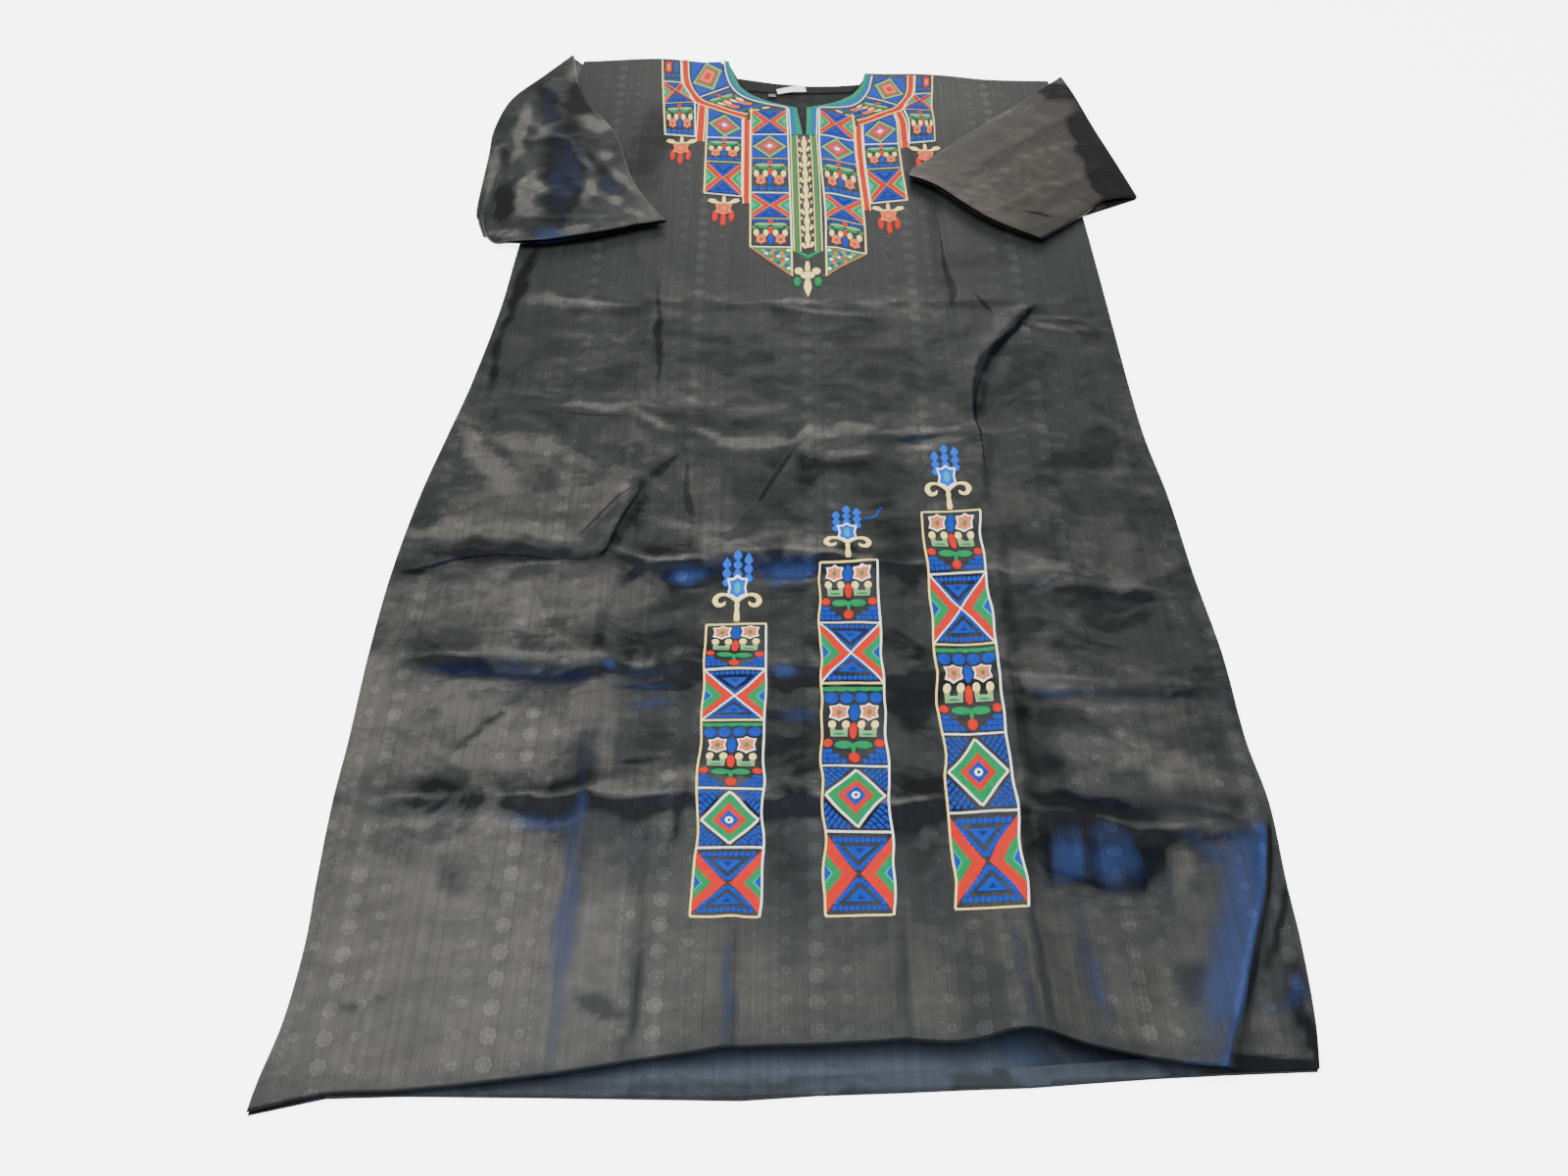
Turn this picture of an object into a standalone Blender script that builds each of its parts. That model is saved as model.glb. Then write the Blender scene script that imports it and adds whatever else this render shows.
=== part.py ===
"""A long black satin dashiki with embroidered chest and skirt bands, laid flat on its back.

Both sleeves are folded over the front. The frame is in metres: +Z up out of the cloth, +Y towards
the neck and +X to the right of someone who looks down at the front. The origin is on the surface
that the back lies on, in the middle of the garment's outline.
"""
import bmesh
import bpy
from bisect import bisect_right
from math import cos, pi, radians, sin
from mathutils import Vector


def table(columns, *rows):
    return [dict(zip(columns.split(), row)) for row in rows]


# Cloth: the satin with its pressed seams and turnings, and what separates two layers.
WALL = 0.0014
GAP = 0.0003
TRIM_WALL = 0.0010
EMBROIDERY = 0.0010
HEM_TURN = 0.014
BACK_TOP = WALL
TRIM_TOP = BACK_TOP + GAP + TRIM_WALL

# How high the front stands over the back between its seams, and over how much cloth it rises.
PUFF = 0.0045
PUFF_REACH = 0.13
SEAM_CLEARANCE = 0.0005
SEAM_REACH = 0.030
HEM_CLEARANCE = 0.0016
HEM_REACH = 0.030
LIFT_REACH = 0.15

# The lines that run down the body, at heights y: its two side seams with the armholes above
# them, two pressed creases, and the pleat that runs out at the right side of the hem.
DOWN_LINES = table(
    "y       left     crease_left  middle  crease_right  pleat   right",
    (0.7000, -0.2900, -0.1500,     0.004,  0.1600,       0.3120, 0.3230),
    (0.6400, -0.2945, -0.1500,     0.004,  0.1600,       0.3120, 0.3225),
    (0.5000, -0.3060, -0.1530,     0.004,  0.1600,       0.3130, 0.3240),
    (0.3300, -0.3240, -0.1570,     0.002,  0.1600,       0.3160, 0.3275),
    (0.2750, -0.3290, -0.1590,     0.002,  0.1610,       0.3180, 0.3290),
    (0.1720, -0.3350, -0.1630,     0.000,  0.1640,       0.3210, 0.3315),
    (0.0450, -0.3500, -0.1720,    -0.002,  0.1700,       0.3240, 0.3345),
    (-0.031, -0.3630, -0.1770,    -0.004,  0.1700,       0.3270, 0.3380),
    (-0.110, -0.3760, -0.1800,    -0.006,  0.1700,       0.3350, 0.3470),
    (-0.209, -0.3860, -0.1820,    -0.008,  0.1700,       0.3420, 0.3530),
    (-0.300, -0.3890, -0.1830,    -0.008,  0.1700,       0.3490, 0.3610),
    (-0.390, -0.3885, -0.1840,    -0.008,  0.1690,       0.3500, 0.3625),
    (-0.450, -0.3895, -0.1850,    -0.008,  0.1660,       0.3540, 0.3685),
    (-0.523, -0.3870, -0.1890,    -0.006,  0.1630,       0.3480, 0.3660),
    (-0.571, -0.3845, -0.1920,    -0.006,  0.1610,       0.3260, 0.3655),
    (-0.630, -0.3870, -0.1940,    -0.004,  0.1600,       0.2990, 0.3615),
    (-0.672, -0.3940, -0.1950,    -0.004,  0.1600,       0.2860, 0.3540),
    (-0.700, -0.3970, -0.1950,    -0.004,  0.1600,       0.2800, 0.3500),
)

# The lines that run across it, at places x: both hems, the five folds of its packing, and the
# shoulder seams. The front's hem stands off the back's by its lift.
ACROSS_LINES = table(
    "x       back_hem hem      lift   fold_5   fold_4   fold_3   fold_2   fold_1  chest   shoulder",
    (-0.400, -0.6985, -0.6985, 0.000, -0.4460, -0.3010, -0.1600, 0.0290,  0.2000, 0.4300, 0.6855),
    (-0.345, -0.6870, -0.6865, 0.000, -0.4480, -0.3040, -0.1650, 0.0270,  0.1990, 0.4300, 0.6855),
    (-0.290, -0.6855, -0.6850, 0.000, -0.4500, -0.3080, -0.1720, 0.0140,  0.1970, 0.4300, 0.6855),
    (-0.190, -0.6865, -0.6745, 0.002, -0.4450, -0.3150, -0.1800, 0.0110,  0.1790, 0.4300, 0.6925),
    (-0.120, -0.6875, -0.6640, 0.004, -0.4470, -0.3180, -0.1820, 0.0040,  0.1750, 0.4300, 0.6815),
    (-0.055, -0.6885, -0.6570, 0.007, -0.4490, -0.3200, -0.1870, -0.0060, 0.1740, 0.4270, 0.6760),
    (0.0000, -0.6850, -0.6560, 0.009, -0.4500, -0.3220, -0.1930, -0.0150, 0.1740, 0.4250, 0.6680),
    (0.0600, -0.6830, -0.6530, 0.010, -0.4520, -0.3240, -0.1990, -0.0230, 0.1740, 0.4220, 0.6580),
    (0.1050, -0.6810, -0.6550, 0.013, -0.4530, -0.3260, -0.2050, -0.0270, 0.1740, 0.4200, 0.6545),
    (0.1500, -0.6795, -0.6470, 0.018, -0.4540, -0.3290, -0.2100, -0.0270, 0.1760, 0.4180, 0.6545),
    (0.1900, -0.6765, -0.6570, 0.013, -0.4560, -0.3310, -0.2150, -0.0360, 0.1790, 0.4170, 0.6500),
    (0.2400, -0.6730, -0.6650, 0.006, -0.4600, -0.3330, -0.2220, -0.0470, 0.1800, 0.4160, 0.6405),
    (0.2900, -0.6705, -0.6695, 0.002, -0.4640, -0.3350, -0.2290, -0.0570, 0.1720, 0.4160, 0.6375),
    (0.3600, -0.6680, -0.6675, 0.000, -0.4690, -0.3360, -0.2380, -0.0700, 0.1600, 0.4160, 0.6360),
)
FADE_SHARE = 0.15
SETTLING_STEPS = 6
DOWN_CELLS = (("left", 6), ("crease_left", 6), ("middle", 6), ("crease_right", 6), ("pleat", 3))
ACROSS_CELLS = (("hem", 7), ("fold_5", 5), ("fold_4", 5), ("fold_3", 5), ("fold_2", 5),
                ("fold_1", 5), ("chest", 5))

# Creases of the front: the line of each one's crest, its ends along that line, its height, and
# how far it reaches down or left of the line (before) and up or right of it (after).
CREASES = table(
    "line          start   end     height  before after",
    ("fold_1",      -0.310, 0.320,  0.0035, 0.014, 0.034),
    ("fold_2",      -0.350, 0.330,  0.0040, 0.016, 0.040),
    ("fold_3",      -0.375, 0.345,  0.0060, 0.018, 0.046),
    ("fold_4",      -0.372, 0.355,  0.0048, 0.018, 0.040),
    ("fold_5",      -0.377, 0.362,  0.0065, 0.024, 0.055),
    ("crease_left", -0.680, 0.260,  0.0050, 0.034, 0.024),
    ("crease_right", -0.660, 0.030, 0.0060, 0.042, 0.012),
    ("pleat",       -0.700, -0.440, 0.0100, 0.070, 0.018),
)

# Shorter creases on lines of their own, through three places from start to end.
SHORT_CREASES = table(
    "runs     start   end     first   half    last    height   before after",
    ("down",  -0.010, 0.190,  0.1700, 0.1930, 0.2580, 0.0055,  0.045, 0.012),
    ("down",  0.180,  0.370,  0.1580, 0.1610, 0.1590, -0.0018, 0.016, 0.016),
    ("down",  -0.700, -0.520, -0.0660, -0.0645, -0.0630, 0.0030, 0.018, 0.010),
    ("down",  -0.700, -0.540, 0.0590, 0.0610, 0.0630, 0.0024,  0.014, 0.012),
    ("down",  -0.190, -0.040, -0.1910, -0.1680, -0.1390, 0.0030, 0.016, 0.016),
    ("across", -0.375, -0.190, -0.2040, -0.1880, -0.1810, -0.0022, 0.010, 0.012),
    ("across", 0.183, 0.330,  -0.4950, -0.5120, -0.4950, -0.0030, 0.030, 0.030),
    ("across", -0.330, -0.180, -0.3240, -0.3290, -0.3270, -0.0020, 0.012, 0.012),
)

# The front's neckline with its short slit, the back's neckline, and the back's neck facing.
FRONT_NECK = table("x y", (-0.0970, 0.6805), (-0.0890, 0.6470), (-0.0800, 0.6180),
                   (-0.0670, 0.5990), (-0.0460, 0.5820), (-0.0200, 0.5700), (-0.0075, 0.5660),
                   (0.0000, 0.5030), (0.0030, 0.5030), (0.0045, 0.5660), (0.0260, 0.5730),
                   (0.0470, 0.5840), (0.0650, 0.6010), (0.0760, 0.6230), (0.0825, 0.6545))
NECK_CUT_TOP = 0.7200
NECK_CUT_SPREAD = 0.002
CUTTER_HEIGHTS = (-0.050, 0.100)
BACK_NECK = table("x y", (0.0825, 0.6545), (0.0790, 0.6400), (0.0740, 0.6300), (0.0450, 0.6265),
                  (0.0100, 0.6255), (-0.0360, 0.6325), (-0.0850, 0.6455), (-0.0970, 0.6805))
FACING = table("x y", (0.0740, 0.6285), (0.0450, 0.6250), (0.0100, 0.6240), (-0.0360, 0.6310),
               (-0.0840, 0.6435), (-0.0775, 0.6150), (-0.0200, 0.6060), (0.0640, 0.6100))
BACK_CORNERS = {"left": -0.6985, "right": -0.6680}
BACK_SIDE_RANGE = (-0.660, 0.640)
RIGHT_SHOULDER_PLACES = (0.3225, 0.2400, 0.1900, 0.1500)
LEFT_SHOULDER_PLACES = (-0.1500, -0.1900, -0.2400, -0.2910)
TURNING_END = 0.352
LABEL_CORNERS = table("x y", (-0.0330, 0.6270), (0.0030, 0.6230), (0.0050, 0.6080),
                      (-0.0315, 0.6100))

# Sleeves: the heights between which each is sewn in, the fold that turns it over, from the
# underarm to the shoulder, its cuff, and the two edges that run from the fold to the cuff.
SLEEVES = {
    "sleeve_left": {
        "side": "left", "armhole": (0.3000, 0.6800),
        "fold": table("x y", (-0.3730, 0.3025), (-0.3820, 0.3295), (-0.3870, 0.3555),
                      (-0.3880, 0.4615), (-0.3890, 0.5195), (-0.3760, 0.5875),
                      (-0.3400, 0.6460), (-0.3070, 0.6985)),
        "cuff": table("x y", (-0.3430, 0.2805), (-0.3090, 0.2775), (-0.2660, 0.2825),
                      (-0.2240, 0.2915), (-0.1600, 0.3125)),
        "underarm": table("x y", (-0.3730, 0.3025), (-0.3590, 0.2855), (-0.3430, 0.2805)),
        "top": table("x y", (-0.3070, 0.6985), (-0.2830, 0.5940), (-0.2320, 0.4997),
                     (-0.2030, 0.3955), (-0.1600, 0.3125)),
    },
    "sleeve_right": {
        "side": "right", "armhole": (0.3420, 0.6320),
        "fold": table("x y", (0.3970, 0.3765), (0.3830, 0.4445), (0.3660, 0.5235),
                      (0.3520, 0.5975), (0.3410, 0.6425)),
        "cuff": table("x y", (0.2690, 0.2815), (0.2190, 0.3095), (0.1900, 0.3375),
                      (0.1560, 0.3785), (0.1250, 0.4025)),
        "underarm": table("x y", (0.3970, 0.3765), (0.3550, 0.3655), (0.3280, 0.3375),
                          (0.2690, 0.2815)),
        "top": table("x y", (0.3410, 0.6425), (0.2500, 0.5450), (0.1580, 0.4495),
                     (0.1310, 0.4215), (0.1250, 0.4025)),
    },
}
FOLD_RADIUS = 0.0020
SLEEVE_LIFT = 0.0022
SLEEVE_HOLLOW = 0.0032
CUFF_LIFT = 0.0045
FOLD_FADE = 6
CUFF_FADE = 6
HOLLOW_FULLNESS = 0.6
HOLLOW_REACH = 0.5
LIFT_SHARE = 0.2
SLEEVE_STATIONS = (0.0, 0.012, 0.10, 0.25, 0.42, 0.58, 0.75, 0.90, 0.988, 1.0)
LINING_STATIONS = (0.008, 0.020, 0.10, 0.25, 0.42, 0.58, 0.75, 0.90, 0.980, 0.992)
UNDER_SHARES = (0.0, 0.6)
FOLD_ANGLES = (-90.0, -45.0, 0.0, 45.0)
OVER_SHARES = (0.0, 0.07, 0.20, 0.35, 0.50, 0.65, 0.80, 0.92, 1.0)

# The embroidery's right half answers its left half, drawn in and down a little by the drape,
# and its middle line leans to the right further down.
ANSWER = table("left upper lower", (-0.2100, 0.1950, 0.1960), (-0.1880, 0.1730, 0.1740),
               (-0.1570, 0.1440, 0.1530), (-0.1310, 0.1190, 0.1280), (-0.1100, 0.0985, 0.1075),
               (-0.0970, 0.0845, 0.0945), (-0.0750, 0.0665, 0.0735), (-0.0460, 0.0450, 0.0450),
               (-0.0240, 0.0245, 0.0248), (-0.0182, 0.0190, 0.0190), (0.0000, 0.0008, 0.0008))
ANSWER_DROP = 0.014
ANSWER_DROP_RANGE = (0.018, 0.070)
SHOULDER_DROP = 0.025
SHOULDER_RANGE = (0.560, 0.690)
ANSWER_CHANGE = (0.540, 0.600)
MIDDLE_LEAN = 0.004
LEAN_RANGE = (0.510, 0.310)

# Outlines of the chest embroidery's left half, each a ring of places on the front.
NECK_BORDER = table("x y", (-0.1050, 0.7000), (-0.1040, 0.6760), (-0.0990, 0.6420),
                    (-0.0880, 0.6080), (-0.0720, 0.5880), (-0.0460, 0.5750), (-0.0230, 0.5670),
                    (-0.0190, 0.5600), (-0.0172, 0.5035), (0.0007, 0.5035), (-0.0030, 0.5660),
                    (-0.0300, 0.6000), (-0.0800, 0.7000))
YOKE = table("x y", (-0.1515, 0.7000), (-0.1470, 0.6380), (-0.1390, 0.6070), (-0.1270, 0.5845),
             (-0.1070, 0.5710), (-0.0850, 0.5575), (-0.0685, 0.5515), (-0.0670, 0.5680),
             (-0.0240, 0.5660), (-0.0470, 0.5740), (-0.0730, 0.5870), (-0.0890, 0.6075),
             (-0.1000, 0.6420), (-0.1050, 0.6760), (-0.1060, 0.7000))
CURVED_RIBBON = table("x y", (-0.1605, 0.7000), (-0.1565, 0.6370), (-0.1490, 0.6000),
                      (-0.1360, 0.5765), (-0.1130, 0.5620), (-0.0890, 0.5475),
                      (-0.0725, 0.5380), (-0.0695, 0.5505), (-0.0855, 0.5565),
                      (-0.1075, 0.5700), (-0.1278, 0.5838), (-0.1398, 0.6065),
                      (-0.1478, 0.6378), (-0.1523, 0.7000))
CHEST_OUTER = table("x y", (-0.1880, 0.7000), (-0.1830, 0.6320), (-0.1780, 0.5700),
                    (-0.1730, 0.5040), (-0.1340, 0.4995), (-0.1380, 0.5770),
                    (-0.1500, 0.6000), (-0.1575, 0.6370), (-0.1615, 0.7000))
CHEST_MIDDLE = table("x y", (-0.1225, 0.5665), (-0.1195, 0.3800), (-0.0732, 0.3725),
                     (-0.0755, 0.5385), (-0.0890, 0.5463), (-0.1130, 0.5608))
CHEST_INNER = table("x y", (-0.0665, 0.5665), (-0.0635, 0.2750), (-0.0140, 0.2200),
                    (-0.0145, 0.2820), (-0.0165, 0.4000), (-0.0182, 0.5030),
                    (-0.0200, 0.5600), (-0.0230, 0.5630))
OUTER_RIBBON = table("x y", (-0.1330, 0.5735), (-0.1330, 0.4890), (-0.1235, 0.4890),
                     (-0.1235, 0.5680))
MIDDLE_RIBBON = table("x y", (-0.0748, 0.5375), (-0.0722, 0.3590), (-0.0650, 0.3590),
                      (-0.0672, 0.5360))
PLACKET = table("x y", (-0.0165, 0.5025), (-0.0152, 0.4000), (-0.0130, 0.2650), (0.0040, 0.2500),
                (0.0205, 0.2650), (0.0200, 0.4000), (0.0175, 0.5025))

# Half outlines of the hanging ornaments, from the top down, beside their middle line.
TASSEL_HALF = table("aside down", (0.0015, 0.0000), (0.0030, 0.0080), (0.0165, 0.0060),
                    (0.0180, 0.0150), (0.0080, 0.0200), (0.0130, 0.0300), (0.0155, 0.0460),
                    (0.0105, 0.0500), (0.0055, 0.0430), (0.0035, 0.0560), (0.0005, 0.0595))
FINIAL_HALF = table("aside down", (0.0005, 0.0000), (0.0040, 0.0080), (0.0060, 0.0180),
                    (0.0110, 0.0090), (0.0155, 0.0200), (0.0155, 0.0420), (0.0120, 0.0500),
                    (0.0105, 0.0610), (0.0215, 0.0590), (0.0215, 0.0680), (0.0060, 0.0700),
                    (0.0030, 0.0815))
DROP_HALF = table("aside down", (0.0020, 0.0000), (0.0035, 0.0180), (0.0130, 0.0160),
                  (0.0130, 0.0250), (0.0165, 0.0300), (0.0160, 0.0450), (0.0110, 0.0450),
                  (0.0070, 0.0360), (0.0035, 0.0560), (0.0005, 0.0660))
TASSELS = table("name x y", ("tassel_outer_left", -0.1510, 0.4990),
                ("tassel_middle_left", -0.0950, 0.3740), ("tassel_middle_right", 0.0985, 0.3590),
                ("tassel_outer_right", 0.1500, 0.4830))
PLACKET_DROP = {"name": "placket_drop", "x": 0.0025, "y": 0.2490}

# Skirt bands: the top and bottom, the left edge at both and the finial's tip over the band.
BAND_WIDTH = 0.0535
FINIAL_FOOT = 0.0012
BANDS = table(
    "name    top      bottom   left_at_top left_at_bottom tip",
    ("left",   -0.2715, -0.5525, -0.0930,  -0.0950, -0.1870),
    ("middle", -0.1995, -0.5520, 0.0085,   0.0070,  -0.1260),
    ("right",  -0.1365, -0.5480, 0.1075,   0.1080,  -0.0430),
)

SATIN = ("black_satin", (0.020, 0.022, 0.026), 0.42)
LABEL_TAPE = ("white_label_tape", (0.80, 0.80, 0.78), 0.70)
BLUE_THREAD = ("blue_embroidery", (0.025, 0.115, 0.520), 0.50)
GREEN_THREAD = ("green_embroidery", (0.035, 0.330, 0.170), 0.50)
RED_THREAD = ("red_embroidery", (0.560, 0.085, 0.060), 0.50)
CREAM_THREAD = ("cream_embroidery", (0.760, 0.660, 0.410), 0.50)


def smooth(rows, key, value, at):
    """A value of a table between its rows, on a curve through them, and held past its ends."""
    keys = [row[key] for row in rows]
    if keys[0] > keys[-1]:
        rows = rows[::-1]
        keys = keys[::-1]
    if at <= keys[0]:
        return rows[0][value]
    if at >= keys[-1]:
        return rows[-1][value]
    i = bisect_right(keys, at) - 1
    span = keys[i + 1] - keys[i]
    share = (at - keys[i]) / span

    def slope(k):
        low = max(k - 1, 0)
        high = min(k + 1, len(rows) - 1)
        return (rows[high][value] - rows[low][value]) / (keys[high] - keys[low])

    start, end = rows[i][value], rows[i + 1][value]
    return (start * (1 + 2 * share) * (1 - share) ** 2 + end * share ** 2 * (3 - 2 * share)
            + span * share * (1 - share) * (slope(i) * (1 - share) - slope(i + 1) * share))


def mix(a, b, share):
    return a + (b - a) * share


def ramp(share):
    """From 0 to 1 with level ends."""
    share = min(max(share, 0.0), 1.0)
    return share * share * (3 - 2 * share)


def down_line(name, y):
    return smooth(DOWN_LINES, "y", name, y)


def across_line(name, x):
    return smooth(ACROSS_LINES, "x", name, x)


def crest(height, before, after, aside):
    """A pressed crease: a sharp crest that runs out with a soft foot on either side."""
    reach = after if aside > 0 else before
    return height * max(0.0, 1 - abs(aside) / reach) ** 2


def run_out(share):
    """A crease's height along its line, which fades at both ends."""
    return ramp(min(share, 1 - share) / FADE_SHARE)


def crease_rise(x, y):
    rise = 0.0
    for crease in CREASES:
        runs_across = crease["line"] in ACROSS_LINES[0]
        along = x if runs_across else y
        share = (along - crease["start"]) / (crease["end"] - crease["start"])
        aside = y - across_line(crease["line"], x) if runs_across else \
            x - down_line(crease["line"], y)
        rise += run_out(share) * crest(crease["height"], crease["before"], crease["after"], aside)
    for crease in SHORT_CREASES:
        along, across = (x, y) if crease["runs"] == "across" else (y, x)
        share = (along - crease["start"]) / (crease["end"] - crease["start"])
        if not 0 < share < 1:
            continue
        line = (crease["first"] * (1 - share) * (1 - 2 * share)
                + crease["half"] * 4 * share * (1 - share) + crease["last"] * share * (2 * share - 1))
        rise += run_out(share) * crest(crease["height"], crease["before"], crease["after"],
                                       across - line)
    return rise


def front_rise(x, y):
    """How high the front's underside stands over the back at a place, 0 off the body."""
    from_side = min(x - down_line("left", y), down_line("right", y) - x)
    from_shoulder = across_line("shoulder", x) - y
    from_hem = y - across_line("hem", x)
    if min(from_side, from_shoulder) < -SEAM_CLEARANCE:
        return 0.0
    seams = ramp(from_side / SEAM_REACH) * ramp(from_shoulder / SEAM_REACH)
    puff = PUFF * ramp(from_side / PUFF_REACH) * ramp(from_shoulder / PUFF_REACH)
    lift = across_line("lift", x) * (1 - ramp(from_hem / LIFT_REACH))
    over_turning = HEM_CLEARANCE * (1 - ramp((from_hem - HEM_TURN) / HEM_REACH))
    return max(0.0, puff + seams * (crease_rise(x, y) + lift)) + over_turning


def stations(cells):
    """Places along a run of lines, closer together near each line, as line number and share."""
    places = []
    for line, (name, count) in enumerate(cells):
        places += [line + 0.5 - 0.5 * cos(pi * k / count) for k in range(count)]
    return places + [float(len(cells))]


def between_lines(line, cells, last, station, at):
    names = [name for name, count in cells] + [last]
    number = min(int(station), len(cells) - 1)
    return mix(line(names[number], at), line(names[number + 1], at), station - number)


def front_places():
    """The front's mesh lines follow its creases, so each place is where two of them cross."""
    places = {}
    for i, down in enumerate(stations(DOWN_CELLS)):
        for j, across in enumerate(stations(ACROSS_CELLS)):
            x = y = 0.0
            for step in range(SETTLING_STEPS):
                y = between_lines(across_line, ACROSS_CELLS, "shoulder", across, x)
                x = between_lines(down_line, DOWN_CELLS, "right", down, y)
            places[i, j] = (x, y)
    return places


def material(finish):
    name, colour, roughness = finish
    made = bpy.data.materials.get(name)
    if made is None:
        made = bpy.data.materials.new(name)
        made.use_nodes = True
        shader = made.node_tree.nodes["Principled BSDF"]
        shader.inputs["Base Color"].default_value = (*colour, 1.0)
        shader.inputs["Roughness"].default_value = roughness
        shader.inputs["Metallic"].default_value = 0.0
        made.diffuse_color = (*colour, 1.0)
    return made


def add_object(name, mesh, finish, collection):
    piece = bpy.data.objects.new(name, mesh)
    if finish is not None:
        mesh.materials.append(material(finish))
    collection.objects.link(piece)
    return piece


def mesh_from(bm, name):
    mesh = bpy.data.meshes.new(name)
    bm.to_mesh(mesh)
    bm.free()
    return mesh


def thicken_up(bm, wall):
    """Gives a sheet of faces its wall, straight up, so that layers over it can lie parallel."""
    made = bmesh.ops.extrude_face_region(bm, geom=bm.faces[:])
    verts = [item for item in made["geom"] if isinstance(item, bmesh.types.BMVert)]
    bmesh.ops.translate(bm, verts=verts, vec=(0, 0, wall))
    bmesh.ops.recalc_face_normals(bm, faces=bm.faces[:])


def front_layer(name, places, above, wall):
    """A sheet over the whole front, the given height above its underside."""
    columns = len(stations(DOWN_CELLS)) - 1
    rows = len(stations(ACROSS_CELLS)) - 1
    bm = bmesh.new()
    bmesh.ops.create_grid(bm, x_segments=columns, y_segments=rows, size=0.5)
    for vert in bm.verts:
        x, y = places[round((vert.co.x + 0.5) * columns), round((vert.co.y + 0.5) * rows)]
        vert.co = (x, y, BACK_TOP + GAP + front_rise(x, y) + above)
    thicken_up(bm, wall)
    return mesh_from(bm, name)


def prism(name, outline, low, high):
    """An outline of places, raised between two heights."""
    bm = bmesh.new()
    bm.faces.new([bm.verts.new((place["x"], place["y"], low)) for place in outline])
    thicken_up(bm, high - low)
    return mesh_from(bm, name)


def cut(piece, cutter, operation):
    modifier = piece.modifiers.new(operation.lower(), "BOOLEAN")
    modifier.operation = operation
    modifier.object = cutter
    modifier.solver = "EXACT"


def add_cutter(name, outline, collection):
    cutter = add_object(name, prism(name, outline, *CUTTER_HEIGHTS), None, collection)
    cutter.hide_render = True
    cutter.display_type = "WIRE"
    return cutter


def back_outline():
    """Both side seams, the hem and the shoulders, with the back's neckline cut into them."""
    low, high = BACK_SIDE_RANGE
    heights = [row["y"] for row in DOWN_LINES if low < row["y"] < high]

    def across(line, places):
        return [{"x": x, "y": across_line(line, x)} for x in places]

    def down(line, places):
        return [{"x": down_line(line, y), "y": y} for y in places]

    return (across("back_hem", [row["x"] for row in ACROSS_LINES[1:-1]])
            + down("right", [BACK_CORNERS["right"]] + heights[::-1])
            + across("shoulder", RIGHT_SHOULDER_PLACES) + BACK_NECK
            + across("shoulder", LEFT_SHOULDER_PLACES)
            + down("left", heights + [BACK_CORNERS["left"]]))


def add_back(parts):
    """The back, the turning of its hem, its neck facing and the blank label on that."""
    add_object("back", prism("back", back_outline(), 0.0, WALL), SATIN, parts)
    places = [row["x"] for row in ACROSS_LINES[1:-1]] + [TURNING_END]
    edge = [{"x": x, "y": across_line("back_hem", x) + SEAM_CLEARANCE} for x in places]
    inside = [{"x": place["x"], "y": place["y"] + HEM_TURN} for place in edge[::-1]]
    add_object("hem_back", prism("hem_back", edge + inside, BACK_TOP + GAP, TRIM_TOP), SATIN,
               parts)
    add_object("neck_facing", prism("neck_facing", FACING, BACK_TOP + GAP, TRIM_TOP), SATIN, parts)
    add_object("label", prism("label", LABEL_CORNERS, TRIM_TOP + GAP, TRIM_TOP + GAP + TRIM_WALL),
               LABEL_TAPE, parts)


def add_front(places, neck_cutter, parts):
    front = add_object("front", front_layer("front", places, 0.0, WALL), SATIN, parts)
    cut(front, neck_cutter, "DIFFERENCE")


def answer(place):
    """Where the right half of the chest has what the left half has at a place."""
    def over(limits, value):
        return ramp((value - limits[0]) / (limits[1] - limits[0]))

    x, y = place["x"], place["y"]
    lean = MIDDLE_LEAN * over(LEAN_RANGE, y)
    lower = smooth(ANSWER, "left", "lower", x - lean)
    upper = smooth(ANSWER, "left", "upper", x - lean)
    drop = ANSWER_DROP * over(ANSWER_DROP_RANGE, -x) + SHOULDER_DROP * over(SHOULDER_RANGE, y)
    return {"x": mix(lower, upper, over(ANSWER_CHANGE, y)) + lean, "y": y - drop}


def hanging(half, x, top, height):
    """An ornament's outline from its half outline, at its real height."""
    scale = height / half[-1]["down"]
    right = [{"x": x + row["aside"], "y": top - row["down"] * scale} for row in half]
    left = [{"x": x - row["aside"], "y": top - row["down"] * scale} for row in half]
    return right + left[::-1]


def band_outline(band):
    return [{"x": band["left_at_top"], "y": band["top"]},
            {"x": band["left_at_bottom"], "y": band["bottom"]},
            {"x": band["left_at_bottom"] + BAND_WIDTH, "y": band["bottom"]},
            {"x": band["left_at_top"] + BAND_WIDTH, "y": band["top"]}]


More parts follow.
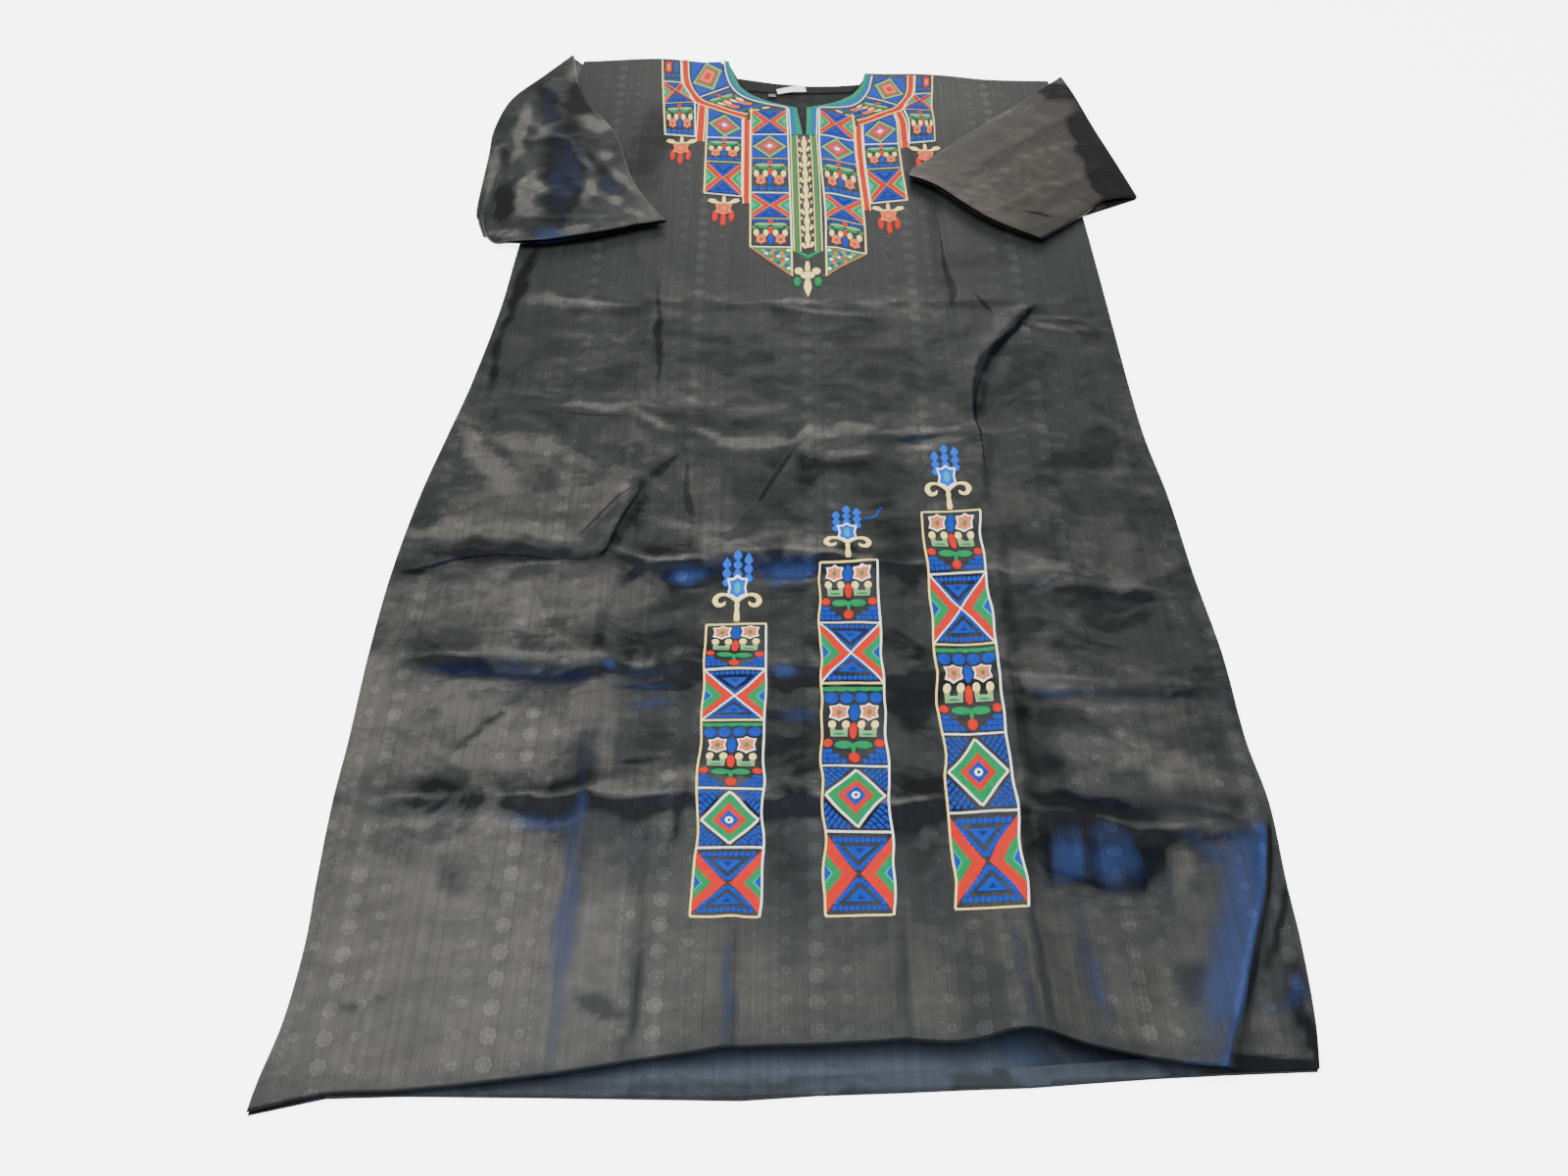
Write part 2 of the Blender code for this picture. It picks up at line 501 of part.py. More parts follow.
def embroidery_outlines():
    """Every embroidered piece: its name, outline and main thread."""
    halves = (("neck_border", NECK_BORDER, GREEN_THREAD), ("yoke", YOKE, BLUE_THREAD),
              ("ribbon_curved", CURVED_RIBBON, RED_THREAD),
              ("chest_outer", CHEST_OUTER, BLUE_THREAD),
              ("chest_middle", CHEST_MIDDLE, BLUE_THREAD),
              ("chest_inner", CHEST_INNER, BLUE_THREAD),
              ("ribbon_outer", OUTER_RIBBON, RED_THREAD),
              ("ribbon_middle", MIDDLE_RIBBON, RED_THREAD))
    pieces = []
    for name, outline, thread in halves:
        pieces.append((name + "_left", outline, thread))
        pieces.append((name + "_right", [answer(place) for place in outline], thread))
    pieces.append(("placket", PLACKET, GREEN_THREAD))
    drop = PLACKET_DROP
    pieces.append((drop["name"], hanging(DROP_HALF, drop["x"], drop["y"],
                                         DROP_HALF[-1]["down"]), CREAM_THREAD))
    for tassel in TASSELS:
        pieces.append((tassel["name"], hanging(TASSEL_HALF, tassel["x"], tassel["y"],
                                               TASSEL_HALF[-1]["down"]), RED_THREAD))
    for band in BANDS:
        middle = band["left_at_top"] + BAND_WIDTH / 2
        height = band["tip"] - band["top"] - FINIAL_FOOT
        pieces.append(("band_" + band["name"], band_outline(band), BLUE_THREAD))
        pieces.append(("finial_" + band["name"], hanging(FINIAL_HALF, middle, band["tip"], height),
                       BLUE_THREAD))
    return pieces


def add_embroidery(places, neck_cutter, parts, cutters):
    for name, outline, thread in embroidery_outlines():
        layer = front_layer(name, places, WALL + GAP, EMBROIDERY)
        piece = add_object(name, layer, thread, parts)
        cut(piece, add_cutter(name + "_outline", outline, cutters), "INTERSECT")
        if name.startswith("neck_border"):
            cut(piece, neck_cutter, "DIFFERENCE")


def curve_point(rows, share):
    """A place at a share of the way along a row of places, on a smooth curve."""
    keyed = [{"at": i / (len(rows) - 1), **row} for i, row in enumerate(rows)]
    return Vector((smooth(keyed, "at", "x", share), smooth(keyed, "at", "y", share)))


def over_point(sleeve, along, across):
    """A place of a folded sleeve's upper part, between its fold, its cuff and its two edges."""
    fold, cuff, underarm, top = (sleeve[name] for name in ("fold", "cuff", "underarm", "top"))
    ends = [[Vector((rows[i]["x"], rows[i]["y"])) for i in (0, -1)] for rows in (fold, cuff)]
    corners = mix(mix(ends[0][0], ends[0][1], across), mix(ends[1][0], ends[1][1], across), along)
    return (mix(curve_point(fold, across), curve_point(cuff, across), along)
            + mix(curve_point(underarm, along), curve_point(top, along), across) - corners)


def sleeve_rings(sleeve, shares, inset):
    """Rings round the flattened tube, from the armhole round the fold to the cuff."""
    half = WALL + GAP / 2
    sign = -1 if sleeve["side"] == "left" else 1
    low_y, high_y = sleeve["armhole"]
    rings = []

    def ring(middles):
        """A ring through a list of (middle, direction of thickness, low, high)."""
        upper = [middle + normal * (high - inset) for middle, normal, low, high in middles]
        lower = [middle + normal * (low + inset) for middle, normal, low, high in middles]
        ends = [middle + normal * (low + high) / 2 for middle, normal, low, high in middles]
        rings.append([ends[0]] + upper[1:-1] + [ends[-1]] + lower[-2:0:-1])

    armhole, fold, outward = [], [], []
    for share in shares:
        y = mix(low_y, high_y, share)
        armhole.append(Vector((down_line(sleeve["side"], y) + sign * SEAM_CLEARANCE, y)))
        fold.append(curve_point(sleeve["fold"], share))
        outward.append((fold[-1] - armhole[-1]).normalized())
    axis = [place - out * (FOLD_RADIUS + half) for place, out in zip(fold, outward)]
    for under in UNDER_SHARES:
        ring([(mix(a, b, under).to_3d() + Vector((0, 0, half)), Vector((0, 0, -1)), -half, half)
              for a, b in zip(armhole, axis)])
    for angle in FOLD_ANGLES:
        turn = radians(angle)
        row = []
        for place, out in zip(axis, outward):
            normal = out.to_3d() * cos(turn) + Vector((0, 0, sin(turn)))
            centre = place.to_3d() + Vector((0, 0, half + FOLD_RADIUS))
            row.append((centre + normal * FOLD_RADIUS, normal, -half, half))
        ring(row)
    for over in OVER_SHARES:
        row = []
        for share, out in zip(shares, outward):
            inward = (FOLD_RADIUS + half) * (1 - over) ** FOLD_FADE
            place = over_point(sleeve, over, share) - out * inward
            front_top = BACK_TOP + GAP + front_rise(*place) + WALL
            below = max(2 * FOLD_RADIUS, front_top + GAP + SLEEVE_LIFT * ramp(over / LIFT_SHARE))
            below += CUFF_LIFT * over ** CUFF_FADE
            fullness = ramp(over / HOLLOW_REACH) * sin(pi * share) ** HOLLOW_FULLNESS
            hollow = GAP + SLEEVE_HOLLOW * fullness
            row.append((place.to_3d(), Vector((0, 0, 1)), below, below + 2 * WALL + hollow))
        ring(row)
    return rings


def add_sleeve(name, sleeve, parts):
    """A flattened tube, open at the armhole and the cuff: its outside, then its inside back."""
    rings = sleeve_rings(sleeve, SLEEVE_STATIONS, 0.0)
    rings += sleeve_rings(sleeve, LINING_STATIONS, WALL)[::-1]
    bm = bmesh.new()
    loops = [[bm.verts.new(place) for place in ring] for ring in rings]
    count = len(loops[0])
    for i, loop in enumerate(loops):
        after = loops[(i + 1) % len(loops)]
        for k in range(count):
            bm.faces.new((loop[k], loop[(k + 1) % count], after[(k + 1) % count], after[k]))
    bmesh.ops.recalc_face_normals(bm, faces=bm.faces[:])
    add_object(name, mesh_from(bm, name), SATIN, parts)


def new_collection(name):
    collection = bpy.data.collections.new(name)
    bpy.context.scene.collection.children.link(collection)
    return collection


def build():
    for piece in list(bpy.data.objects):
        bpy.data.objects.remove(piece, do_unlink=True)
    parts = new_collection("dashiki")
    cutters = new_collection("dashiki_cutters")
    places = front_places()
    opening = FRONT_NECK + [{"x": FRONT_NECK[-1]["x"] + NECK_CUT_SPREAD, "y": NECK_CUT_TOP},
                            {"x": FRONT_NECK[0]["x"] - NECK_CUT_SPREAD, "y": NECK_CUT_TOP}]
    neck_cutter = add_cutter("neck_opening", opening, cutters)
    add_back(parts)
    add_front(places, neck_cutter, parts)
    add_embroidery(places, neck_cutter, parts, cutters)
    for name, sleeve in SLEEVES.items():
        add_sleeve(name, sleeve, parts)


build()
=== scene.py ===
"""A long black satin dashiki with embroidered chest and skirt bands, laid flat on its back.

Both sleeves are folded over the front. The frame is in metres: +Z up out of the cloth, +Y towards
the neck and +X to the right of someone who looks down at the front.
"""
from math import atan2, ceil, cos, dist, floor, hypot, pi, radians, sin, tau

import bmesh
import bpy
import numpy as np
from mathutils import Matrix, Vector, noise
from mathutils.bvhtree import BVHTree


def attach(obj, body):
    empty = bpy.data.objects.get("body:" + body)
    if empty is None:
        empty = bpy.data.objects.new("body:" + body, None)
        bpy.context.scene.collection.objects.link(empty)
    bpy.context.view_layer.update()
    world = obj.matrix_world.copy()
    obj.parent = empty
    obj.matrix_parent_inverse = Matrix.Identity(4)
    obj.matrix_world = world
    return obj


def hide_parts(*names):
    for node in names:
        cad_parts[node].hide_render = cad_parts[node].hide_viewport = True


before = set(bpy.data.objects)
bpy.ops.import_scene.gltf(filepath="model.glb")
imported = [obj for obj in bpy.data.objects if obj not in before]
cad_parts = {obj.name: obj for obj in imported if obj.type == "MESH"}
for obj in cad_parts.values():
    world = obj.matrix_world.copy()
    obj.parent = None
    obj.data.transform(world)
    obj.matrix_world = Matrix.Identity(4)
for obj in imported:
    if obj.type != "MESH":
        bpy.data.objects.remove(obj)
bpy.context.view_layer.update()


# The back panel.
# One piece of black satin, wrong side up, that lies flat from the shoulder seams to the hem. It
# widens towards the hem, and its neckline is cut a little higher than the front's.
WALL = 0.0014
GAP = 0.0003
TRIM_WALL = 0.001
HEM_TURN = 0.014
BACK_TOP = WALL
TRIM_TOP = BACK_TOP + GAP + TRIM_WALL
SEAM_CLEARANCE = 0.0005
BACK_MESH = 0.02


def table(in_mm, columns, *rows):
    """Rows with named columns, as one array for each name. The first columns are given in
    millimetres, and a short row ends in noughts."""
    names = columns.split()
    rows = np.array([row + (0,) * (len(names) - len(row)) for row in rows], float).T
    return {name: row / (1000 if i < in_mm else 1) for i, (name, row) in enumerate(zip(names, rows))}


def metres(*places):
    """Places given in millimetres."""
    return [tuple(value / 1000 for value in place) for place in places]


def patch_table(*rows):
    """Patches of painted light on a cloth, a painted highlight or painted shade and a painted blue
    reflection: where each is, its size, turn and strengths.
    """
    return table(4, "x y long wide turn sheen blue", *rows)


def crease_table(*rows):
    """Creases, each with its two ends, sideways bow, height and reach to the left and right."""
    return table(8, "x1 y1 x2 y2 bow height left right", *rows)


# The lines that run down the body, at heights y: its two side seams with the armholes above
# them, two pressed creases, and the pleat that runs out at the right side of the hem.
DOWN_LINES = table(
    7, "y left crease_left middle crease_right pleat right",
    (700, -290, -150, 4, 160, 312, 323), (640, -294.5, -150, 4, 160, 312, 322.5),
    (500, -306, -153, 4, 160, 313, 324), (330, -324, -157, 2, 160, 316, 327.5),
    (275, -329, -159, 2, 161, 318, 329), (172, -335, -163, 0, 164, 321, 331.5),
    (45, -350, -172, -2, 170, 324, 334.5), (-31, -363, -177, -4, 170, 327, 338),
    (-110, -376, -180, -6, 170, 335, 347), (-209, -386, -182, -8, 170, 342, 353),
    (-300, -389, -183, -8, 170, 349, 361), (-390, -388.5, -184, -8, 169, 352, 362.5),
    (-450, -389.5, -185, -8, 166, 363, 368.5), (-523, -387, -189, -6, 163, 347.5, 366),
    (-571, -384.5, -192, -6, 161, 328.5, 365.5), (-630, -387, -194, -4, 160, 304.5, 361.5),
    (-672, -394, -195, -4, 160, 286.5, 354), (-700, -397, -195, -4, 160, 280, 350))

# The lines that run across it, at places x: both hems, the five folds of its packing, and the
# shoulder seams. The front's hem stands off the back's by its lift.
ACROSS_LINES = table(
    11, "x back_hem hem lift fold_5 fold_4 fold_3 fold_2 fold_1 chest shoulder",
    (-400, -698.5, -698.5, 0, -446, -301, -160, 29, 200, 430, 685.5),
    (-345, -687, -686.5, 0, -448, -304, -165, 27, 199, 430, 685.5),
    (-290, -685.5, -685, 0, -450, -308, -170, 14, 197, 430, 685.5),
    (-190, -686.5, -674.5, 2, -445, -315, -184, 11, 179, 430, 692.5),
    (-120, -687.5, -664, 4, -447, -318, -201, 4, 175, 430, 681.5),
    (-55, -688.5, -657, 7, -449, -320, -188, -6, 174, 427, 676),
    (0, -685, -656, 9, -450, -322, -190, -15, 174, 425, 668),
    (60, -683, -653, 10, -452, -324, -199, -23, 174, 422, 658),
    (105, -681, -655, 13, -453, -326, -205, -27, 174, 420, 654.5),
    (150, -679.5, -647, 18, -456, -329, -210, -27, 176, 418, 654.5),
    (190, -676.5, -657, 13, -463, -331, -215, -36, 179, 417, 650),
    (240, -673, -665, 6, -470, -333, -222, -47, 180, 416, 640.5),
    (290, -670.5, -669.5, 2, -475, -335, -229, -57, 172, 416, 637.5),
    (360, -668, -667.5, 0, -479, -336, -238, -70, 160, 416, 636))
BACK_NECK = metres(
    (82.5, 654.5), (79, 640), (74, 630), (45, 626.5), (10, 625.5), (-36, 632.5), (-85, 645.5),
    (-97, 680.5))
BACK_CORNERS = {"left": -0.6985, "right": -0.668}
BACK_SIDE_RANGE = (-0.66, 0.64)
RIGHT_SHOULDER_PLACES = (0.3225, 0.24, 0.19, 0.15)
LEFT_SHOULDER_PLACES = (-0.15, -0.19, -0.24, -0.291)


def smooth(rows, key, value, at):
    """A value of a table between its rows, on a curve through them, and held past its ends."""
    order = np.argsort(rows[key])
    keys, values = rows[key][order], rows[value][order]
    last = len(keys) - 1
    low = np.maximum(np.arange(last + 1) - 1, 0)
    high = np.minimum(np.arange(last + 1) + 1, last)
    slopes = (values[high] - values[low]) / (keys[high] - keys[low])
    at = np.clip(at, keys[0], keys[-1])
    i = np.clip(np.searchsorted(keys, at, side="right") - 1, 0, last - 1)
    span = keys[i + 1] - keys[i]
    share = (at - keys[i]) / span
    return (values[i] * (1 + 2 * share) * (1 - share) ** 2
            + values[i + 1] * share ** 2 * (3 - 2 * share)
            + span * share * (1 - share) * (slopes[i] * (1 - share) - slopes[i + 1] * share))


def mix(a, b, share):
    return a + (b - a) * share


def ramp(share):
    """From 0 to 1 with level ends."""
    share = np.clip(share, 0.0, 1.0)
    return share * share * (3 - 2 * share)


def down_line(name, y):
    return smooth(DOWN_LINES, "y", name, y)


def across_line(name, x):
    return smooth(ACROSS_LINES, "x", name, x)


def back_outline():
    """Both side seams, the hem and the shoulders, with the back's neckline cut into them."""
    low, high = BACK_SIDE_RANGE
    heights = [y for y in DOWN_LINES["y"] if low < y < high]

    def across(line, places):
        return [(x, across_line(line, x)) for x in places]

    def down(line, places):
        return [(down_line(line, y), y) for y in places]

    return (across("back_hem", ACROSS_LINES["x"][1:-1])
            + down("right", [BACK_CORNERS["right"]] + heights[::-1])
            + across("shoulder", RIGHT_SHOULDER_PLACES) + BACK_NECK
            + across("shoulder", LEFT_SHOULDER_PLACES)
            + down("left", heights + [BACK_CORNERS["left"]]))


def cross_cut(bm, spacing):
    """Cuts flat faces across both ways, so that they can follow what they lie on."""
    for axis in (0, 1):
        along = [vert.co[axis] for vert in bm.verts]
        normal = Vector((axis == 0, axis == 1, 0))
        for k in range(ceil(min(along) / spacing), floor(max(along) / spacing) + 1):
            bmesh.ops.bisect_plane(bm, geom=bm.verts[:] + bm.edges[:] + bm.faces[:], dist=1e-7,
                                   plane_co=normal * (k * spacing), plane_no=normal)


def flat_sheet(spacing, *outlines):
    bm = bmesh.new()
    for outline in outlines:
        bm.faces.new([bm.verts.new((x, y, 0.0)) for x, y in outline])
    cross_cut(bm, spacing)
    return bm


def thicken(bm, wall):
    """Gives a sheet its wall, straight up, and returns the faces of its upper side."""
    made = bmesh.ops.extrude_face_region(bm, geom=bm.faces[:])
    verts = [item for item in made["geom"] if isinstance(item, bmesh.types.BMVert)]
    bmesh.ops.translate(bm, verts=verts, vec=(0, 0, wall))
    bmesh.ops.recalc_face_normals(bm, faces=bm.faces[:])
    return [item for item in made["geom"] if isinstance(item, bmesh.types.BMFace)]


def corners(mesh):
    """The places of a mesh's points, one row each."""
    places = np.empty(len(mesh.vertices) * 3)
    mesh.vertices.foreach_get("co", places)
    return places.reshape(-1, 3)


def lay_grain(mesh, grain):
    """Gives a cloth its map in metres across and along the threads, from a place for each point."""
    point = np.empty(len(mesh.loops), int)
    mesh.loops.foreach_get("vertex_index", point)
    mesh.uv_layers.new(name="grain").data.foreach_set("uv", grain[point].ravel())


def keep(mesh, name, values):
    """Keeps a number on each of a mesh's points."""
    mesh.attributes.new(name, "FLOAT", "POINT").data.foreach_set("value", values)


RAGGED = 0.012
RAGGED_SIZE = 0.026
RAGGED_SEED = 4
PATCH_EDGES = {"sheen": 2, "blue": 1.2}
noise.seed_set(RAGGED_SEED)


def patch_strength(patches, name, x, y):
    """How strongly a place is in a table's patches of painted light: turned ovals with ragged edges,
    softer ones for the painted blue reflection. The edges of narrow ones are less ragged."""
    total = np.zeros_like(x)
    ragged = np.array([noise.noise_vector(Vector((a, b, 0.2)) / RAGGED_SIZE)
                       for a, b in zip(x, y)]) * RAGGED
    for i, strength in enumerate(patches[name]):
        if strength:
            wide = patches["wide"][i]
            turn = radians(patches["turn"][i])
            reach = min(1.0, wide / RAGGED)
            dx = x + ragged[:, 0] * reach - patches["x"][i]
            dy = y + ragged[:, 1] * reach - patches["y"][i]
            along = (dx * cos(turn) + dy * sin(turn)) / patches["long"][i]
            aside = (dy * cos(turn) - dx * sin(turn)) / wide
            total += strength * np.exp(-(along ** 2 + aside ** 2) ** PATCH_EDGES[name])
    return total


# Painted light from slopes: a slope towards the neck gets a painted highlight and one towards the
# hem painted shade and a painted blue reflection. These say how much.
SLOPE_SHEEN = 2.0
SLOPE_BLUE = 0.5
LEVEL_ENOUGH = 0.06
STEEP = 0.35
STEEP_BLUE = 0.25


def mark_sheen(mesh, patches, crumple, turns=None, inside=1.0):
    """Keeps on each point the painted highlight, painted shade and painted blue reflection that its
    slope, the patches and the creases give the satin there, how crumpled it is and how far it lies
    inside its hem."""
    x, y, z = corners(mesh).T
    slope = np.empty(len(mesh.vertices) * 3)
    mesh.vertex_normals.foreach_get("vector", slope)
    slope = slope.reshape(-1, 3)[:, 1]
    marks = {"sheen": SLOPE_SHEEN * np.clip(slope, -STEEP, STEEP),
             "blue": SLOPE_BLUE * np.clip(-slope - LEVEL_ENOUGH, 0.0, STEEP_BLUE)}
    for name in marks:
        marks[name] = marks[name] + patch_strength(patches, name, x, y)
        if turns:
            marks[name] = marks[name] + turns[name]
    for name, value in (("crumple", crumple), ("inside", inside)):
        marks[name] = np.broadcast_to(value, len(x)).astype(float)
    for name, strength in marks.items():
        keep(mesh, name, strength)


class Shade:
    """A number, colour or vector in a material. Sums with it add the nodes that work them out."""

    def __init__(self, tree, socket=None):
        self.tree = tree
        self.socket = socket

    def node(self, kind, sockets=None, output=0, **settings):
        """A node of a kind: its settings are made first, then the values and links it takes."""
        made = self.tree.nodes.new(kind)
        for name, value in settings.items():
            setattr(made, name, value)
        for key, value in (sockets or {}).items():
            if isinstance(value, Shade):
                self.tree.links.new(value.socket, made.inputs[key])
            else:
                made.inputs[key].default_value = value
        return Shade(self.tree, made.outputs[output])

    def maths(self, operation, *values):
        return self.node("ShaderNodeMath", dict(enumerate(values)), operation=operation)

    def __add__(self, other):
        return self.maths("ADD", self, other)

    def __sub__(self, other):
        return self.maths("SUBTRACT", self, other)

    def __rsub__(self, other):
        return self.maths("SUBTRACT", other, self)

    def __mul__(self, other):
        return self.maths("MULTIPLY", self, other)

    __radd__ = __add__
    __rmul__ = __mul__

    def held(self):
        """Held between 0 and 1."""
        return self.node("ShaderNodeClamp", {0: self})

    def mixed(self, other, share):
        """This colour, turned to the other by a share."""
        return self.node("ShaderNodeMix", {0: share, 6: self, 7: other}, 2, data_type="RGBA")

    def plain(self, colour):
        made = self.node("ShaderNodeRGB")
        made.socket.default_value = (*colour, 1.0)
        return made

    def scaled(self, level):
        """This colour, brighter or darker by a level."""
        return self.node("ShaderNodeVectorMath", {0: self, "Scale": level}, operation="SCALE")

    def size(self):
        """A number without its sign."""
        return self.maths("ABSOLUTE", self)

    def bump(self, distance, strength):
        """The normal over this height."""
        return self.node("ShaderNodeBump", {"Height": self, "Distance": distance,
                                            "Strength": strength})

    def to(self, node, name):
        self.tree.links.new(self.socket, node.inputs[name])


def painted(name, roughness, **constants):
    """A new material: itself, its shader and a start for expressions in it."""
    made = bpy.data.materials.new(name)
    made.use_nodes = True
    shader = made.node_tree.nodes["Principled BSDF"]
    shader.inputs["Roughness"].default_value = roughness
    for socket, value in constants.items():
        shader.inputs[socket.replace("_", " ")].default_value = value
    return made, shader, Shade(made.node_tree)


# The woven pattern: columns of rosettes and smaller flowers between pinstripes and dots, in
# metres across the cloth and along it.
ROSETTES = {"across": 0.118, "along": 0.0215, "radius": 0.006, "petals": 7.0, "ring": (0.74, 0.44)}
SMALL_FLOWERS = {"across": 0.118, "along": 0.0235, "radius": 0.0036, "eye": 0.0014, "beside": 0.0225}
DOTS = {"across": 0.059, "along": 0.0078, "radius": 0.0013}
PINSTRIPES = {"beside": (0.006, 0.015, 0.0235), "half": 0.0007}
HEM_STITCHES = {"inside": 0.0133, "half": 0.0006, "pitch": 0.0036, "length": 0.0022}


def satin(name, tones, roughness, pattern):
    """Black satin, woven tone on tone. Its tones are its ground and painted light: a brown-grey
    painted highlight, a painted shade, and a dim and a bright painted blue reflection."""
    made, shader, start = painted(name, roughness, Specular_IOR_Level=0.17)
    grain = start.node("ShaderNodeUVMap", uv_map="grain")
    across = grain.node("ShaderNodeSeparateXYZ", {0: grain})
    along = Shade(across.tree, across.socket.node.outputs[1])

    def repeat(value, period, shift=0.0):
        """The distance from the nearest of a row of middles."""
        turns = value * (1 / period) + (0.5 + shift)
        return (turns.maths("FRACT", turns) - 0.5) * period

    def within(value, limit, edge=0.0009):
        """1 inside a limit and 0 outside it."""
        return ((limit - value) * (1 / edge) + 0.5).held()

    def distance(a, b):
        return a.maths("SQRT", a * a + b * b)

    def kept(name):
        """A number that the mesh keeps on its points."""
        return grain.node("ShaderNodeAttribute", output=2, attribute_name=name)

    def grainy(scale, detail, distortion=0.0):
        """Noise from -0.5 to 0.5 with its own scale across and along the threads."""
        place = grain.node("ShaderNodeMapping", {"Vector": grain, "Scale": (*scale, 1.0)})
        return place.node("ShaderNodeTexNoise", {"Vector": place, "Scale": 1.0, "Detail": detail,
                                                 "Roughness": 0.6, "Distortion": distortion}) - 0.5

    radius = ROSETTES["radius"]
    from_rosettes = repeat(across, ROSETTES["across"]), repeat(along, ROSETTES["along"])
    petals = across.maths("ARCTAN2", *from_rosettes) * ROSETTES["petals"]
    big = distance(*from_rosettes) * (1 + 0.08 * petals.maths("SINE", petals))
    outer, inner = [within(big, radius * share) for share in ROSETTES["ring"]]
    rosette = within(big, radius) - 0.5 * outer + 0.5 * inner
    beside = repeat(across, SMALL_FLOWERS["across"]).size() - SMALL_FLOWERS["beside"]
    small = distance(beside, repeat(along, SMALL_FLOWERS["along"], 0.4))
    flower = within(small, SMALL_FLOWERS["radius"]) - 0.6 * within(small, SMALL_FLOWERS["eye"])
    from_dots = repeat(across, DOTS["across"], 0.5)
    dot = within(distance(from_dots, repeat(along, DOTS["along"])), DOTS["radius"])
    pin = 0
    for place in PINSTRIPES["beside"]:
        pin = within((from_dots.size() - place).size(), PINSTRIPES["half"]) + pin
    grit = grainy((620.0, 420.0), 1.0)
    woven = (rosette + 0.7 * flower + 0.5 * dot) * (0.9 + 2.2 * grit) - 0.16 * pin

    threads = grainy((760.0, 9.0), 2.0)
    bands = grainy((150.0, 1.4), 3.0)
    clouds = grainy((13.0, 19.0), 3.0, 0.6)
    wisps = grainy((38.0, 60.0), 3.0, 0.3)
    crumple = kept("crumple")
    # Painted sheen marbling: noise that breaks the painted highlight and painted shade into patches,
    # stronger where the cloth is crumpled.
    painted_sheen_marbling = (1.1 * (9.0 * clouds + 0.5).held() - 0.55 + 2.1 * wisps) * crumple

    # The marks' sheen gives the painted highlight (shine) and the painted shade (shade); their blue
    # gives the painted blue reflection (mirror).
    sheen = kept("sheen") * (1 + 1.2 * wisps) + painted_sheen_marbling
    mirror = kept("blue") * (1 + 0.7 * clouds + 0.6 * wisps)
    shine = (sheen - 0.08).held()
    shade = ((-0.08 - sheen) * 1.5).held()

    # Painted shade along the creases' lines, with ragged edges, tinted by a painted blue reflection
    # where the line is blue.
    line_reflection_blue = kept("line_reflection_blue")
    frayed = wisps * (0.5 + 1.5 * line_reflection_blue) + bands * (1.4 * line_reflection_blue)
    drawn = ((1.3 - kept("line").size() + frayed) * (1.8 - 0.9 * line_reflection_blue)).held()
    drawn = drawn * kept("line_shade")
    # The colour: the ground, then the painted highlight, painted shade, painted crease lines and
    # painted blue reflections over it.
    highlight_tone, shade_tone, dim_reflection_blue, blue = [(*tone, 1.0) for tone in tones[1:]]
    colour = start.plain(tones[0]).mixed(highlight_tone, shine).mixed(shade_tone, shade)
    colour = colour.mixed(start.plain(tones[2]).mixed(dim_reflection_blue, line_reflection_blue), drawn)
    colour = colour.mixed(dim_reflection_blue, ((mirror - 0.12) * 1.6).held())
    colour = colour.mixed(blue, ((mirror - 0.25) * 0.85).held())
    level = 1.0 + 0.5 * threads + 0.65 * bands + pattern * woven * (0.75 + 1.5 * clouds).held()
    seam = within((kept("inside") - HEM_STITCHES["inside"]).size(), HEM_STITCHES["half"])
    stitch = within(repeat(across, HEM_STITCHES["pitch"]).size(), HEM_STITCHES["length"] / 2)
    colour.scaled(level * (1 + seam * (0.6 * stitch - 0.4))).to(shader, "Base Color")
    # Metallic deepens the painted shade and the painted crease lines to near black.
    (0.85 * drawn * (1 - 0.6 * line_reflection_blue) + 0.4 * shade).held().to(shader, "Metallic")
    (roughness + 0.12 * shade - 0.1 * shine + 0.4 * threads - 0.1 * woven).to(shader, "Roughness")
    (0.45 * wisps * crumple + 0.2 * threads + 0.05 * woven).bump(0.0012, 0.6).to(shader, "Normal")
    return made


# Each satin's tones: its ground, then painted light: a brown-grey painted highlight, a painted
# shade, and a dim and a bright painted blue reflection. The right sleeve's copy has warmer tones,
# painting the warmer sheen it shows.
SATIN = satin("black_satin", ((0.016, 0.0174, 0.0166), (0.062, 0.059, 0.053),
                              (0.0022, 0.0024, 0.0028), (0.0034, 0.0064, 0.02),
                              (0.02, 0.042, 0.13)), 0.44, 0.8)
WARM_SHEEN_SATIN = satin("black_satin_warm_sheen", ((0.0225, 0.02, 0.0165), (0.064, 0.055, 0.043),
                                        (0.0022, 0.0022, 0.0024), (0.0034, 0.0064, 0.02),
                                        (0.02, 0.042, 0.13)), 0.44, 0.5)
WRONG_SIDE = satin("satin_wrong_side", ((0.033, 0.042, 0.055), (0.044, 0.05, 0.058),
                                        (0.014, 0.015, 0.0145), (0.012, 0.018, 0.036),
                                        (0.022, 0.04, 0.1)), 0.55, 0.25)


def linked(name, data):
    """A new object in the scene."""
    made = bpy.data.objects.new(name, data)
    bpy.context.scene.collection.objects.link(made)
    return made


def mesh_object(name, bm, materials=()):
    mesh = bpy.data.meshes.new(name)
    bm.to_mesh(mesh)
    bm.free()
    for finish in materials:
        mesh.materials.append(finish)
    return linked(name, mesh)


def add_piece(name, bm, slot, materials, *nodes):
    """Makes the mesh an object that rides on the garment and stands for its solids."""
    piece = mesh_object(name, bm, materials)
    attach(piece, "root")
    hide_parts(*nodes)
    return piece


def soften(piece, degrees=40):
    piece.data.shade_smooth()
    piece.data.set_sharp_from_angle(angle=radians(degrees))


